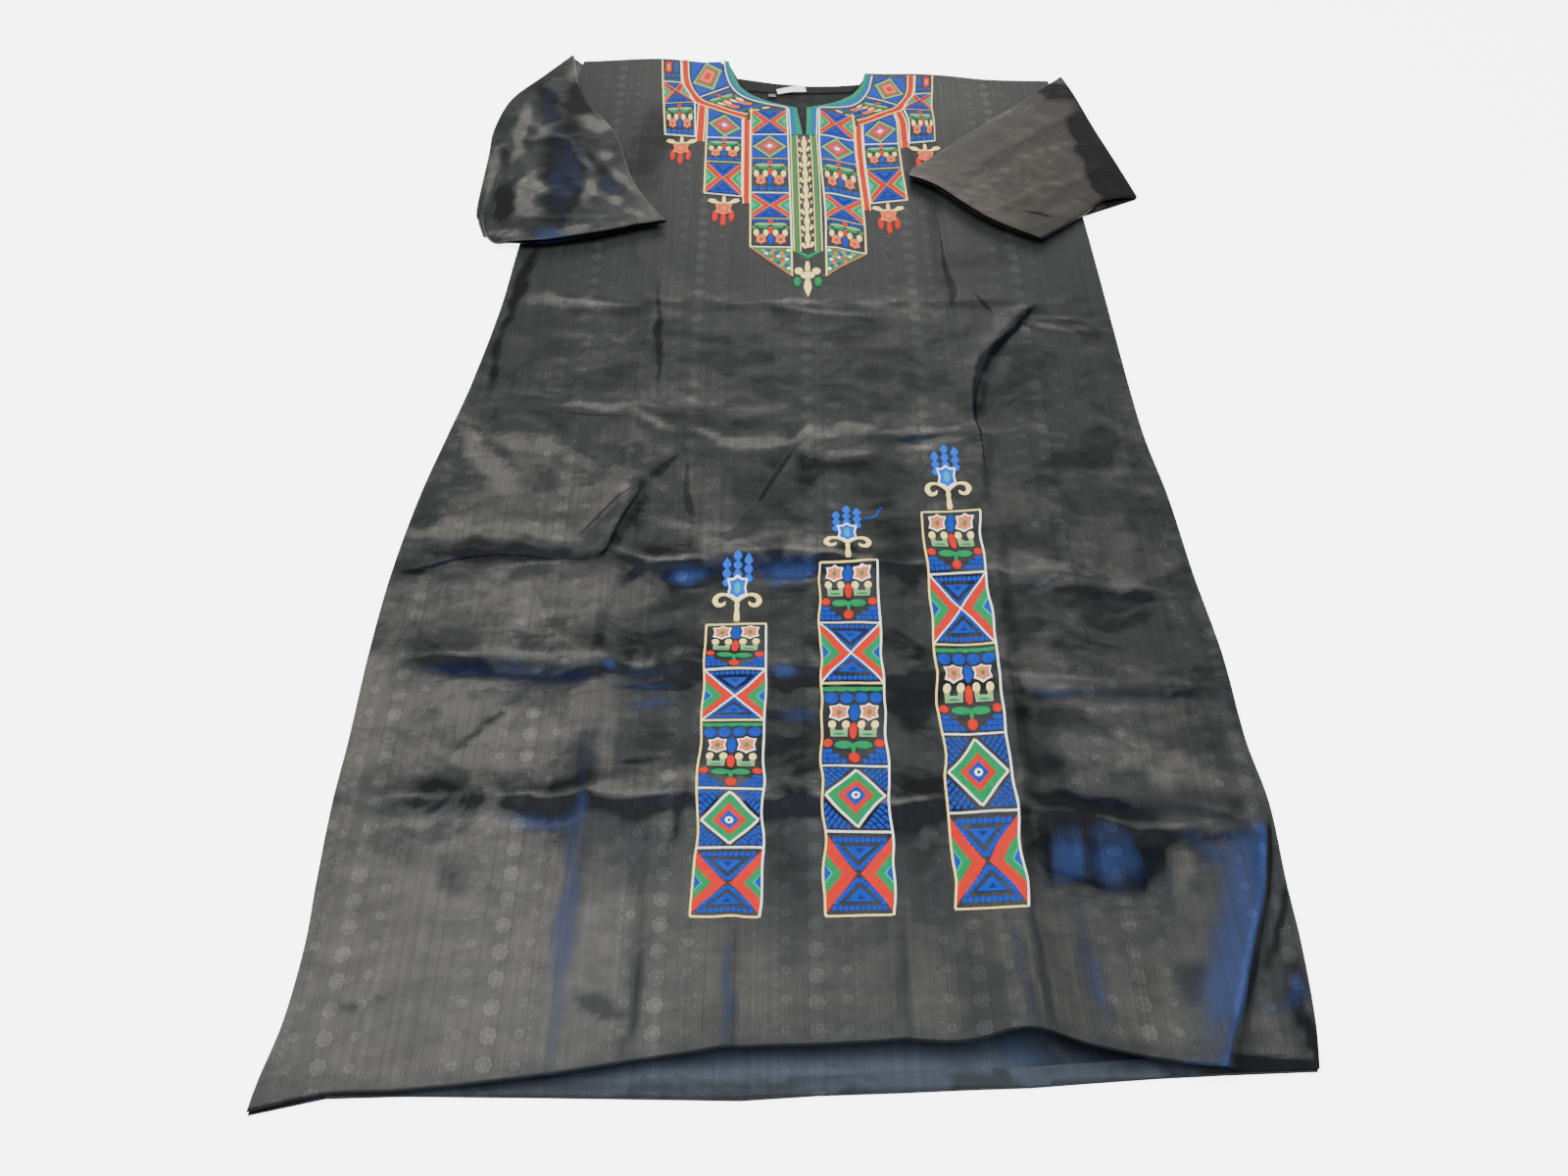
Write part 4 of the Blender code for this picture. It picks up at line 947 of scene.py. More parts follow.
opening = FRONT_NECK + [(FRONT_NECK[-1][0] + NECK_CUT_SPREAD, NECK_CUT_TOP),
                        (FRONT_NECK[0][0] - NECK_CUT_SPREAD, NECK_CUT_TOP)]
bm = bmesh.new()
bm.faces.new([bm.verts.new((a, b, CUTTER_HEIGHTS[0])) for a, b in opening])
thicken(bm, CUTTER_HEIGHTS[1] - CUTTER_HEIGHTS[0])
cutter = mesh_object("neck_opening", bm)
cut = front.modifiers.new("neck", "BOOLEAN")
cut.operation = "DIFFERENCE"
cut.object = cutter
cut.solver = "EXACT"
cut_mesh = bpy.data.meshes.new_from_object(front.evaluated_get(
    bpy.context.evaluated_depsgraph_get()))
front.modifiers.clear()
front.data = cut_mesh
bpy.data.objects.remove(cutter)
soften(front, 60)
places = corners(front.data)[:, :2]
lay_grain(front.data, places)
turns = crease_turns(*places.T)
from_hem = places[:, 1] - across_line("hem", places[:, 0])
# Painted shade along the hem's rolled edge.
turns["sheen"] -= HEM_EDGE_SHADE * (from_hem < HEM_ROLL)
mark_sheen(front.data, FRONT_PATCHES, turns["crumple"], turns, from_hem)
for name, values in line_marks(*places.T).items():
    keep(front.data, name, values)

bm = bmesh.new()
bm.from_mesh(front.data)
front_surface = BVHTree.FromBMesh(bm)
bm.free()


def lie(x, y):
    """The height of the front's upper side at a place."""
    hit = front_surface.ray_cast(Vector((x, y, 1.0)), Vector((0, 0, -1)))[0]
    return BACK_TOP + GAP + WALL if hit is None else hit.z


# The embroidery's thread and stitches.
# Shiny rayon thread, worked by machine: padded satin stitch in flat shapes, and a corded outline
# of short slanted stitches. Each shape stands about a millimetre proud of the cloth.
CLOTH_HOLD = 0.00015
FILL_HEIGHT = 0.0007
LAYER_STEP = 0.00016
CORD_HEIGHT = 0.001
CORD_WIDTH = 0.0018
CORD_PITCH = 0.003
CORD_SLANT = 0.0007
EDGE_ROUND = 0.00032
EDGE_RISE = EDGE_ROUND * 0.6
CORD_COVER = 0.43
STITCH_MESH = 0.0055
THREAD_PITCH_MM = 0.55
SHORTEST_STITCH = 0.002


def thread(name, colour):
    """Rayon thread: stitches side by side, each a little different, with a silky shine."""
    made, shader, start = painted(name, 0.46, Specular_IOR_Level=0.12)
    lay = start.node("ShaderNodeUVMap", uv_map="stitch")
    split = lay.node("ShaderNodeSeparateXYZ", {0: lay})
    turns = split * (1 / THREAD_PITCH_MM)
    wave = turns.maths("SINE", turns * tau)
    each = turns.node("ShaderNodeTexWhiteNoise", {"W": turns.maths("FLOOR", turns)},
                      noise_dimensions="1D")
    place = start.node("ShaderNodeTexCoord", output=3)
    worn = place.node("ShaderNodeTexNoise", {"Vector": place, "Scale": 190.0, "Detail": 3.0})
    # Each stitch's tone differs a little and the thread wears unevenly; the faint wave across the
    # stitches paints a highlight on each and shade between them.
    start.plain(colour).scaled(0.74 + 0.16 * each + 0.28 * worn + 0.05 * wave).to(
        shader, "Base Color")
    (0.4 + 0.16 * each).to(shader, "Roughness")
    wave.bump(0.00008, 0.5).to(shader, "Normal")
    return made


THREADS = {
    "blue": (0.003, 0.036, 0.32), "azure": (0.0, 0.085, 0.56), "aqua": (0.0, 0.3, 0.42),
    "sky": (0.003, 0.11, 0.29), "navy": (0.005, 0.018, 0.11),
    "green": (0.0, 0.2, 0.055), "moss": (0.05, 0.16, 0.052), "teal": (0.001, 0.2, 0.11),
    "jade": (0.001, 0.34, 0.22), "leaf": (0.2, 0.35, 0.14), "red": (0.52, 0.014, 0.006),
    "rose": (0.4, 0.06, 0.12), "salmon": (0.64, 0.15, 0.055), "cream": (0.95, 0.74, 0.24),
    "gold": (0.48, 0.37, 0.14), "white": (0.95, 0.93, 0.82), "black": (0.005, 0.005, 0.006),
}
THREAD_NAMES = list(THREADS)
THREAD_FINISHES = [thread(name + "_thread", colour) for name, colour in THREADS.items()]


def along_curve(places, count):
    """Places at even steps along a smooth curve through the given ones."""
    return list(zip(*on_curve(places, np.linspace(0, 1, count))))


class Stitches:
    """Gathers the flat shapes and cords of one piece of embroidery, and then sews them on."""

    def __init__(self):
        self.fills = []
        self.cords = []

    def fill(self, places, colour, turn=0.0, layer=0):
        """A shape of satin stitch, whose threads run turned by some degrees from the upright."""
        self.fills.append((places, colour, turn, FILL_HEIGHT + layer * LAYER_STEP))

    def shapes(self, place, side, *rows):
        """Shapes on a panel. Each has an outline, its middle across and down, its half width and
        height, its colour, and its threads' turn and layer. A side of -1 mirrors the middles."""
        for outline, across, down, half, high, *look in rows:
            self.fill([place(side * across + a * half, down + b * high) for a, b in outline], *look)

    def strip(self, one_side, other_side, colour, turn=90.0, layer=0):
        """Satin stitch between two edges that run side by side."""
        for i in range(len(one_side) - 1):
            self.fill([one_side[i], one_side[i + 1], other_side[i + 1], other_side[i]], colour,
                      turn, layer)

    def taper(self, places, widths, colour, layer=0):
        """Satin stitch across a path, as wide at each place as given."""
        path = [np.array(place) for place in along_curve(places, 4 * len(places) - 3)]
        width = np.interp(np.linspace(0, 1, len(path)), np.linspace(0, 1, len(widths)), widths)
        sides = ([], [])
        for i, spot in enumerate(path):
            way = path[min(i + 1, len(path) - 1)] - path[max(i - 1, 0)]
            aside = np.array((-way[1], way[0])) / hypot(*way) * width[i] / 2
            sides[0].append(tuple(spot + aside))
            sides[1].append(tuple(spot - aside))
        self.strip(*sides, colour, 90.0, layer)

    def cord(self, places, colour, width=CORD_WIDTH, pitch=CORD_PITCH, slant=CORD_SLANT,
             height=CORD_HEIGHT):
        """Short slanted stitches along a path."""
        for start, end in zip(places, places[1:]):
            length = hypot(end[0] - start[0], end[1] - start[1])
            count = max(1, round(length / pitch))
            along = ((end[0] - start[0]) / length, (end[1] - start[1]) / length)
            half = length / count * CORD_COVER
            turn = np.degrees(atan2(along[1], along[0])) - 90
            for k in range(count):
                share = (k + 0.5) / count
                middle = (mix(start[0], end[0], share), mix(start[1], end[1], share))
                ring = [(-half - slant, -width / 2), (half - slant, -width / 2),
                        (half + slant, width / 2), (-half + slant, width / 2)]
                self.cords.append(([(middle[0] + a * along[0] - b * along[1],
                                     middle[1] + a * along[1] + b * along[0]) for a, b in ring],
                                   colour, turn, height))

    def line(self, place, ends, *look):
        """A cord from one place of a panel to the next."""
        self.cord([place(*end) for end in ends], *look)

    def sewn(self, node, slot, moved=None):
        """The finished piece, laid on the front: every shape and cord as padded thread."""
        bm = bmesh.new()
        turn_of = bm.faces.layers.float.new("turn")
        height_of = bm.faces.layers.float.new("height")

        def add(shapes):
            for places, colour, turn, height in shapes:
                face = bm.faces.new([bm.verts.new((*place, 0.0)) for place in places])
                face.material_index = THREAD_NAMES.index(colour)
                face[turn_of] = turn
                face[height_of] = height

        add(self.fills)
        if self.fills:
            cross_cut(bm, STITCH_MESH)
        add(self.cords)
        if moved:
            for vert in bm.verts:
                vert.co.x, vert.co.y = moved((vert.co.x, vert.co.y))
        top = thicken(bm, FILL_HEIGHT)
        for face in top:
            for vert in face.verts:
                vert.co.z = face[height_of] - EDGE_RISE
        bmesh.ops.inset_region(bm, faces=top, thickness=EDGE_ROUND, depth=EDGE_RISE,
                               use_boundary=True, use_even_offset=True)
        grain = bm.loops.layers.uv.new("stitch")
        for face in bm.faces:
            turn = radians(face[turn_of])
            for loop in face.loops:
                x, y = loop.vert.co.x * 1000, loop.vert.co.y * 1000
                loop[grain].uv = (x * cos(turn) + y * sin(turn), y * cos(turn) - x * sin(turn))
        for vert in bm.verts:
            vert.co.z += lie(vert.co.x, vert.co.y) - CLOTH_HOLD
        piece = add_piece(node + "_stitches", bm, slot, THREAD_FINISHES, node)
        soften(piece, 50)


def panel(*ring):
    """A four-cornered panel, corners from the top left round to the right: it gives the place of
    across, from -1 at its left side to 1, and down, from 0 at its top to 1."""
    (a, b, c, d) = [np.array(place) for place in ring]

    def place(across, down):
        share = (across + 1) / 2
        return tuple(mix(mix(a, b, share), mix(d, c, share), down))

    return place


def part_of(place, top, bottom):
    """The stretch of a panel between two heights. It is upside down if the top is lower."""
    return lambda across, down: place(across, mix(top, bottom, down))


def upright(x, half, top, foot):
    """An upright panel."""
    return panel((x - half, top), (x + half, top), (x + half, foot), (x - half, foot))


LEFT_SIDE, RIGHT_SIDE = ((-1, 0), (-1, 1)), ((1, 0), (1, 1))
TOP_SIDE, FOOT_SIDE = ((-1, 0), (1, 0)), ((-1, 1), (1, 1))


def round_motif(count):
    return [(cos(tau * k / count), sin(tau * k / count)) for k in range(count)]


def mirrored(half):
    """A motif's outline from its right half, which runs from the top down to the bottom."""
    return list(half) + [(-x, y) for x, y in half[::-1] if x]


OVAL = round_motif(10)
SMALL_OVAL = round_motif(8)
DIAMOND = mirrored([(0, -1), (1, 0), (0, 1)])
BLOSSOM = mirrored([(0, -1), (0.4, -0.76), (0.98, -0.72), (0.78, -0.05), (0.95, 0.58),
                    (0.42, 0.74), (0, 1)])
POT = ((-1, -1), (-0.42, -1), (-0.42, 0.05), (0.42, 0.05), (0.42, -1), (1, -1), (0.88, 1),
       (-0.88, 1))
LEAF = mirrored([(0, -1), (0.62, -0.38), (1, 0.2), (0.6, 0.86), (0.22, 1)])
LOZENGE = ((-1, -1), (0.55, -1), (1, 1), (-0.55, 1))


def beads(sew, place, start, end, count, half, high, shape=SMALL_OVAL):
    """A row of blue beads on a panel, from the middle of the first to the middle of the last."""
    for k in range(count):
        share = k / (count - 1)
        sew.shapes(place, 1, (shape, mix(start[0], end[0], share), mix(start[1], end[1], share),
                              half, high, "blue"))


def chevrons(sew, place, reach, high, *tones):
    """Nested chevrons in the side quarters."""
    for side in (-1, 1):
        for i, (scale, tone) in enumerate(tones):
            sew.fill([place(side * reach, 0.5 - high * scale), place(side * (1 - scale), 0.5),
                      place(side * reach, 0.5 + high * scale)], tone, side * 45, i)


def triangles(sew, place, top, way, *rows):
    """Nested triangles that point down the panel from a height, or up it if the way is below 0."""
    for reach, base, point, tone, layer in rows:
        base, point = top + way * base, top + way * point
        sew.fill([place(-reach, base), place(reach, base), place(0, point)], tone, 0, layer)


def diamonds(sew, place, *tones):
    """Nested diamonds."""
    for i, (scale, tone) in enumerate(tones):
        sew.shapes(place, 1, (DIAMOND, 0, 0.5, scale, scale / 2, tone, 0, i))


def flower_motif(sew, place):
    """Two salmon blossoms over pots beside a blue bead, with a pair of leaves below."""
    for side in (-1, 1):
        sew.shapes(place, side, (BLOSSOM, 0.47, 0.155, 0.315, 0.15, "white"),
                   (BLOSSOM, 0.47, 0.155, 0.25, 0.122, "salmon", 0, 1),
                   (SMALL_OVAL, 0.47, 0.16, 0.075, 0.05, "moss", 0, 2),
                   (POT, 0.46, 0.46, 0.3, 0.1, "leaf"),
                   (OVAL, 0.46, 0.525, 0.2, 0.022, "green", 90, 1),
                   (OVAL, 0.675, 0.365, 0.125, 0.066, "cream", 0, 1),
                   (OVAL, 0.245, 0.365, 0.125, 0.066, "cream", 0, 1),
                   (OVAL, 0.8, 0.66, 0.15, 0.066, "red"),
                   (OVAL, 0.3, 0.69, 0.29, 0.064, "green", 90, 1))
        for row in range(3):
            down = 0.785 + row * 0.08
            beads(sew, place, (side * 0.86, down), (side * (0.72 - 0.2 * row), down), row + 2,
                  0.095, 0.034, LOZENGE)
    sew.shapes(place, 1, (OVAL, 0, 0.16, 0.15, 0.15, "blue"),
               (OVAL, 0, 0.47, 0.125, 0.135, "red", 0, 2),
               (OVAL, 0, 0.735, 0.07, 0.075, "green", 0, 2),
               (OVAL, 0, 0.89, 0.165, 0.085, "red", 0, 1))


def cross_motif(sew, place, lined=True, arm=0.62):
    """Two crossed arms: chevrons in the side quarters and beaded triangles above and below."""
    chevrons(sew, place, 0.96, 0.5, (0.95, "red"), (arm, "green"), (arm * 0.52, "jade"),
             (arm * 0.42, "blue"))
    for top, way in ((0.0, 1), (1.0, -1)):
        beads(sew, place, (-0.74, top + way * 0.075), (0.74, top + way * 0.075), 10, 0.08, 0.036)
        for side in (-1, 1):
            beads(sew, place, (side * 0.68, top + way * 0.145), (side * 0.07, top + way * 0.42),
                  7, 0.085, 0.036)
        triangles(sew, place, top, way, (0.44, 0.155, 0.335, "blue", 1),
                  (0.14, 0.185, 0.245, "navy", 2))
    if lined:
        for u in (-1, 1):
            sew.line(place, ((-u, 0), (u, 1)), "white", 0.0014, 0.003, 0.0002, 0.0012)


def diamond_motif(sew, place):
    """Nested diamonds in a ground of blue stitches that run in from each corner."""
    diamonds(sew, place, (0.84, "green"), (0.55, "red"), (0.33, "blue"))
    sew.line(place, ((0, 0.05), (0.9, 0.5), (0, 0.95), (-0.9, 0.5), (0, 0.05)), "white", 0.002)
    sew.shapes(place, 1, (SMALL_OVAL, 0, 0.5, 0.135, 0.062, "white", 0, 4),
               (SMALL_OVAL, 0, 0.5, 0.055, 0.026, "black", 0, 5))
    for u in (-1, 1):
        for w in (-1, 1):
            for k in range(-4, 5):
                step = k * 0.205
                start = (-0.95 + max(step, 0), -0.95 + max(-step, 0))
                end = ((step - 1.08) / 2, (-1.08 - step) / 2)
                ends = [place(u * -a, 0.5 + w * -b / 2) for a, b in (start, end)]
                if dist(*ends) > SHORTEST_STITCH:
                    sew.cord(ends, "blue", 0.0029, 0.005, 0.0004, 0.0008)


def beaded_top(sew, place):
    """A wavy green strip over a row of four blue beads."""
    row = [(-0.95 + 0.19 * k, k % 2) for k in range(11)]
    sew.strip([place(across, 0.015) for across, wave in row],
              [place(across, 0.058 + 0.014 * wave) for across, wave in row], "green", 0)
    beads(sew, place, (-0.72, 0.155), (0.72, 0.155), 4, 0.215, 0.074, OVAL)


# The three skirt bands.
# Each is a ladder of square panels inside a corded frame, with the same five motifs from the top
# down: blossoms, a small cross, blossoms under beads, a diamond and a large cross.
BAND_WIDTH = 0.0535
BANDS = (
    ("left", (-0.093, -0.095), (-0.2715, -0.3235, -0.3735, -0.4435, -0.494, -0.5525)),
    ("middle", (0.0085, 0.007), (-0.1995, -0.2695, -0.336, -0.419, -0.4795, -0.552)),
    ("right", (0.1075, 0.108), (-0.1365, -0.2145, -0.2935, -0.388, -0.4625, -0.548)),
)
PUCKER = 0.0034
PUCKER_SIZE = (0.07, 0.036)


def puckered(place):
    """A place on a band, drawn aside a little by the soft cloth under it."""
    x, y = place
    spot = Vector((x / PUCKER_SIZE[0], y / PUCKER_SIZE[1], 5.0))
    return x + PUCKER * noise.noise(spot), y + 0.5 * PUCKER * noise.noise(spot * 1.3)


for name, (left_top, left_bottom), levels in BANDS:
    sew = Stitches()

    def side(y, share):
        left = mix(left_top, left_bottom, (levels[0] - y) / (levels[0] - levels[-1]))
        return left + BAND_WIDTH * share, y

    panels = [panel(side(top, 0), side(top, 1), side(bottom, 1), side(bottom, 0))
              for top, bottom in zip(levels, levels[1:])]
    flower_motif(sew, part_of(panels[0], 0.03, 0.97))
    cross_motif(sew, panels[1])
    beaded_top(sew, part_of(panels[2], 0.03, 0.97))
    flower_motif(sew, part_of(panels[2], 0.24, 0.98))
    diamond_motif(sew, part_of(panels[3], 0.02, 0.98))
    cross_motif(sew, part_of(panels[4], 0.02, 0.98), lined=False, arm=0.54)
    for i, place in enumerate(panels):
        sew.line(place, TOP_SIDE, "cream" if i in (0, 2) else "white")
        sew.line(place, LEFT_SIDE, "cream")
        sew.line(place, RIGHT_SIDE, "white")
    sew.line(panels[-1], FOOT_SIDE, "cream")
    sew.sewn("band_" + name, "blue_embroidery", puckered)


# The finial over each band.
# Three columns of blue beads rise from a white-edged star, over a cream stem with two scrolls.
FINIAL_TIPS = {"left": -0.187, "middle": -0.126, "right": -0.043}
FINIAL_HALF = 0.0215
FINIAL_FOOT = 0.0016
BEAD_COLUMNS = ((-0.46, 0.11, 3), (0.0, 0.0, 3), (0.46, 0.05, 3))
SCROLL = ((0.0, 0.725), (0.22, 0.655), (0.5, 0.605), (0.8, 0.62), (0.93, 0.69), (0.8, 0.755),
          (0.58, 0.745), (0.5, 0.705))
SCROLL_WIDTHS = (0.0012, 0.0018, 0.003, 0.0042, 0.005, 0.0046, 0.0034, 0.0012)
STEM = (0.69, 0.76, 0.81, 0.86, 0.93, 0.98)
STEM_WIDTHS = (0.0026, 0.0046, 0.0032, 0.0044, 0.0054, 0.004)
LOOSE_END = metres((52, -144), (58, -143), (64, -140), (65.5, -134), (69, -130))
LOOSE_END_WIDTHS = (0.0016, 0.002, 0.0022, 0.002, 0.0014)
for name, (left_top, left_bottom), levels in BANDS:
    sew = Stitches()
    place = upright(left_top + BAND_WIDTH / 2, FINIAL_HALF, FINIAL_TIPS[name],
                    levels[0] + FINIAL_FOOT)
    for across, top, count in BEAD_COLUMNS:
        sew.fill([place(across, top), place(across + 0.16, top + 0.062),
                  place(across - 0.16, top + 0.062)], "azure")
        for k in range(count):
            sew.shapes(place, 1, (LEAF, across, top + 0.08 + 0.115 * k, 0.2, 0.066, "azure", 0, 1))
    sew.shapes(place, 1, (BLOSSOM, 0, 0.51, 0.46, 0.185, "white", 0, 2),
               (BLOSSOM, 0, 0.51, 0.36, 0.148, "azure", 0, 3),
               (OVAL, 0, 0.51, 0.14, 0.085, "aqua", 0, 4))
    for side in (-1, 1):
        sew.taper([place(side * a, b) for a, b in SCROLL], SCROLL_WIDTHS, "cream", 1)
    sew.taper([place(0, down) for down in STEM], STEM_WIDTHS, "cream", 2)
    if name == "middle":
        sew.taper(LOOSE_END, LOOSE_END_WIDTHS, "blue")
    sew.sewn("finial_" + name, "blue_embroidery")


# The neckline's border.
# Emerald and blue satin stitch round the neckline and both sides of its slit, with a fine white
# cord outside them. The right half answers the left, drawn in and down a little by the drape.
ANSWER = table(
    3, "left upper lower",
    (-210, 195, 196), (-188, 173, 174), (-157, 144, 153), (-131, 119, 128), (-110, 98.5, 107.5),
    (-97, 84.5, 94.5), (-75, 66.5, 73.5), (-46, 45, 45), (-24, 24.5, 24.8), (-18.2, 19, 19),
    (0, 0.8, 0.8))
ANSWER_DROP = 0.014
ANSWER_DROP_RANGE = (0.018, 0.07)
SHOULDER_DROP = 0.025
SHOULDER_RANGE = (0.56, 0.69)
ANSWER_CHANGE = (0.54, 0.6)
MIDDLE_LEAN = 0.004
LEAN_RANGE = (0.51, 0.31)
BORDER_INNER = metres(
    (-97.8, 685), (-89.6, 647.6), (-80.6, 618.6), (-67.6, 599.6), (-46.6, 582.6), (-20.6, 570.6),
    (-8.1, 566.4), (-0.6, 503.6))
BORDER_INNER_RIGHT = metres(
    (83.2, 655), (80.6, 639), (76.6, 623.4), (65.6, 601.4), (47.6, 584.4), (26.6, 573.4),
    (5.1, 566.4), (3.6, 503.6))
BORDER_OUTER = metres(
    (-104.5, 687), (-99, 642), (-88.5, 608.5), (-72.2, 588.5), (-47.5, 575.5), (-23.5, 567.2),
    (-18.5, 561), (-16.8, 503.6))


def answer(place):
    """Where the right half of the chest has what the left half has at a place."""
    def over(limits, value):
        return ramp((value - limits[0]) / (limits[1] - limits[0]))

    x, y = place
    lean = MIDDLE_LEAN * over(LEAN_RANGE, y)
    lower = smooth(ANSWER, "left", "lower", x - lean)
    upper = smooth(ANSWER, "left", "upper", x - lean)
    drop = ANSWER_DROP * over(ANSWER_DROP_RANGE, -x) + SHOULDER_DROP * over(SHOULDER_RANGE, y)
    return float(mix(lower, upper, over(ANSWER_CHANGE, y)) + lean), float(y - drop)


def between(one, other, share):
    return [(mix(a[0], b[0], share), mix(a[1], b[1], share)) for a, b in zip(one, other)]


for hand in ("left", "right"):
    sew = Stitches()
    edges = BORDER_INNER, BORDER_OUTER
    if hand == "right":
        edges = BORDER_INNER_RIGHT, [answer(place) for place in BORDER_OUTER]
    inner, outer = [along_curve(edge[:-1], 22) + along_curve(edge[-2:], 12)[1:] for edge in edges]
    sew.strip(between(inner, outer, 0.02), between(inner, outer, 0.46), "teal", 90, 1)
    sew.strip(between(inner, outer, 0.46), between(inner, outer, 0.86), "sky", 90, 0)
    sew.cord(between(inner, outer, 0.94), "white", 0.0016, 0.003, 0.0004)
    sew.sewn("neck_border_" + hand, "green_embroidery")


# The chest embroidery.
# Stepped columns of the same square motifs hang from the shoulders and the neckline, longer
# towards the middle, with red ribbons between cream cords that part one group from the next.
YOKE_OUTER = metres(
    (-149, 688), (-147, 638), (-139, 607), (-127, 584.5), (-107, 571), (-85, 557.5), (-70, 552.5))
YOKE_INNER = metres(
    (-106.5, 686), (-105.5, 672), (-101, 642), (-90.5, 607.5), (-74.5, 587), (-50, 575),
    (-29, 568.5))
RIBBONS = {
    "outer": (metres((-133.5, 573.5), (-133.5, 489)), metres((-123.5, 569), (-123.5, 489)), 20),
    "middle": (metres((-75.2, 537.5), (-72.6, 359)), metres((-66.5, 536), (-64.5, 359)), 20),
    "curved": (metres((-160.5, 688), (-156.5, 637), (-149, 600), (-136, 576.5), (-113, 562),
                      (-89, 547.5), (-72.5, 538.5)),
               metres((-151.5, 688.5), (-147.8, 637.8), (-139.8, 606.5), (-127.8, 583.8),
                      (-107.5, 570), (-85.5, 556.5), (-70, 550.5)), 30),
}
YOKE_STEPS = 60


def chest_column(sew, sides, levels, motifs):
    """A column of panels between its left and right edges, each edge a row of places."""
    def corner(i, side):
        edge = table(0, "x y", *sides[side])
        return float(smooth(edge, "y", "x", levels[i][side])), levels[i][side]

    for i, motif in enumerate(motifs):
        place = panel(corner(i, 0), corner(i, 1), corner(i + 1, 1), corner(i + 1, 0))
        motif(sew, place)
        sew.line(place, LEFT_SIDE, "cream", 0.002)
        sew.line(place, RIGHT_SIDE, "white", 0.0018)
        sew.line(place, FOOT_SIDE, "gold" if i % 2 else "white", 0.0016)


def last_flower(sew, place):
    """Two salmon blossoms with cream curls, below green leaves and a row of blue stitches."""
    beads(sew, place, (-0.84, 0.075), (0.84, 0.075), 8, 0.11, 0.045, LOZENGE)
    for side in (-1, 1):
        sew.shapes(place, side, (OVAL, 0.4, 0.205, 0.4, 0.055, "leaf", 90),
                   (OVAL, 0.34, 0.315, 0.32, 0.05, "green", 90, 1),
                   (OVAL, 0.82, 0.33, 0.12, 0.075, "moss"),
                   (BLOSSOM, 0.47, 0.72, 0.27, 0.175, "salmon"),
                   (SMALL_OVAL, 0.47, 0.74, 0.085, 0.055, "red", 0, 1),
                   (OVAL, 0.705, 0.505, 0.135, 0.11, "cream", 0, 2),
                   (OVAL, 0.235, 0.505, 0.135, 0.11, "cream", 0, 2))
    sew.shapes(place, 1, (OVAL, 0, 0.745, 0.15, 0.19, "blue", 0, 1),
               (OVAL, 0, 0.43, 0.11, 0.13, "red", 0, 2),
               (OVAL, 0, 0.12, 0.13, 0.08, "red", 0, 2))


def hanging_flower(sew, place):
    """The same, over a row of beads and a green line."""
    last_flower(sew, part_of(place, 0.02, 0.86))
    beads(sew, place, (-0.76, 0.88), (0.76, 0.88), 5, 0.17, 0.072, OVAL)
    sew.line(place, ((-0.92, 0.972), (0.92, 0.972)), "moss", 0.0018)


def chest_cross(sew, place):
    """The crossed arms, smaller and fully worked, with plain blue triangles."""
    chevrons(sew, place, 0.95, 0.48, (0.94, "red"), (0.66, "leaf"), (0.56, "green"), (0.34, "jade"))
    for top, way in ((0.03, 0.94), (0.97, -0.94)):
        triangles(sew, place, top, way, (0.8, 0.04, 0.45, "blue", 0),
                  (0.52, 0.09, 0.35, "navy", 1), (0.3, 0.125, 0.265, "blue", 2))
    for u in (-1, 1):
        sew.line(place, ((-u * 0.95, 0.03), (u * 0.95, 0.97)), "salmon", 0.0016, 0.0026, 0.0002,
                 0.0012)


def chest_diamond(sew, place):
    """A pale-edged diamond with a rose middle, on a fully worked blue ground."""
    for u in (-1, 1):
        for v in (0.03, 0.97):
            sew.fill([place(u * 0.95, v), place(u * 0.08, v), place(u * 0.95, mix(v, 0.5, 0.93))],
                     "blue", u * 45)
    diamonds(sew, place, (0.92, "leaf"), (0.76, "moss"), (0.62, "red"), (0.44, "rose"))
    sew.shapes(place, 1, (SMALL_OVAL, 0, 0.5, 0.16, 0.075, "white", 0, 4))


def top_blossom(sew, place):
    """What shows of a blossom motif below the shoulder seam."""
    sew.shapes(place, 1, (BLOSSOM, -0.34, 0.33, 0.36, 0.3, "red"),
               (BLOSSOM, -0.34, 0.33, 0.22, 0.18, "salmon", 0, 1),
               (OVAL, 0.46, 0.34, 0.24, 0.28, "blue"))
    beads(sew, place, (-0.74, 0.74), (0.74, 0.74), 5, 0.155, 0.095, OVAL)
    sew.line(place, ((-0.92, 0.92), (0.92, 0.92)), "moss", 0.0018)


POINT_ROW = 0.0056
POINT_PITCH = 0.0058
POINT_BEAD = 0.0025
POINT_TONES = ("white", "red", "teal", "salmon", "blue", "leaf")


def dotted_point(sew, corner, side, tip):
    """Rows of small coloured beads in the corded point under the inner column."""
    sew.fill([corner, side, tip], "moss")
    row, down = 0, corner[1] - POINT_ROW
    while down > tip[1] + POINT_ROW:
        share = (corner[1] - down) / (corner[1] - tip[1])
        left, right = mix(corner[0], tip[0], share) + POINT_BEAD, mix(side[0], tip[0], share)
        for k in range(int((right - left) / POINT_PITCH)):
            across = right - POINT_PITCH * (k + 0.6 + 0.4 * (row % 2))
            sew.fill([(across + POINT_BEAD * a, down + POINT_BEAD * b) for a, b in SMALL_OVAL],
                     POINT_TONES[(k + 2 * row) % len(POINT_TONES)], 0, 1)
        row, down = row + 1, down - POINT_ROW
    sew.cord([corner, tip], "salmon", 0.0014)
    sew.cord([side, tip], "cream", 0.002)


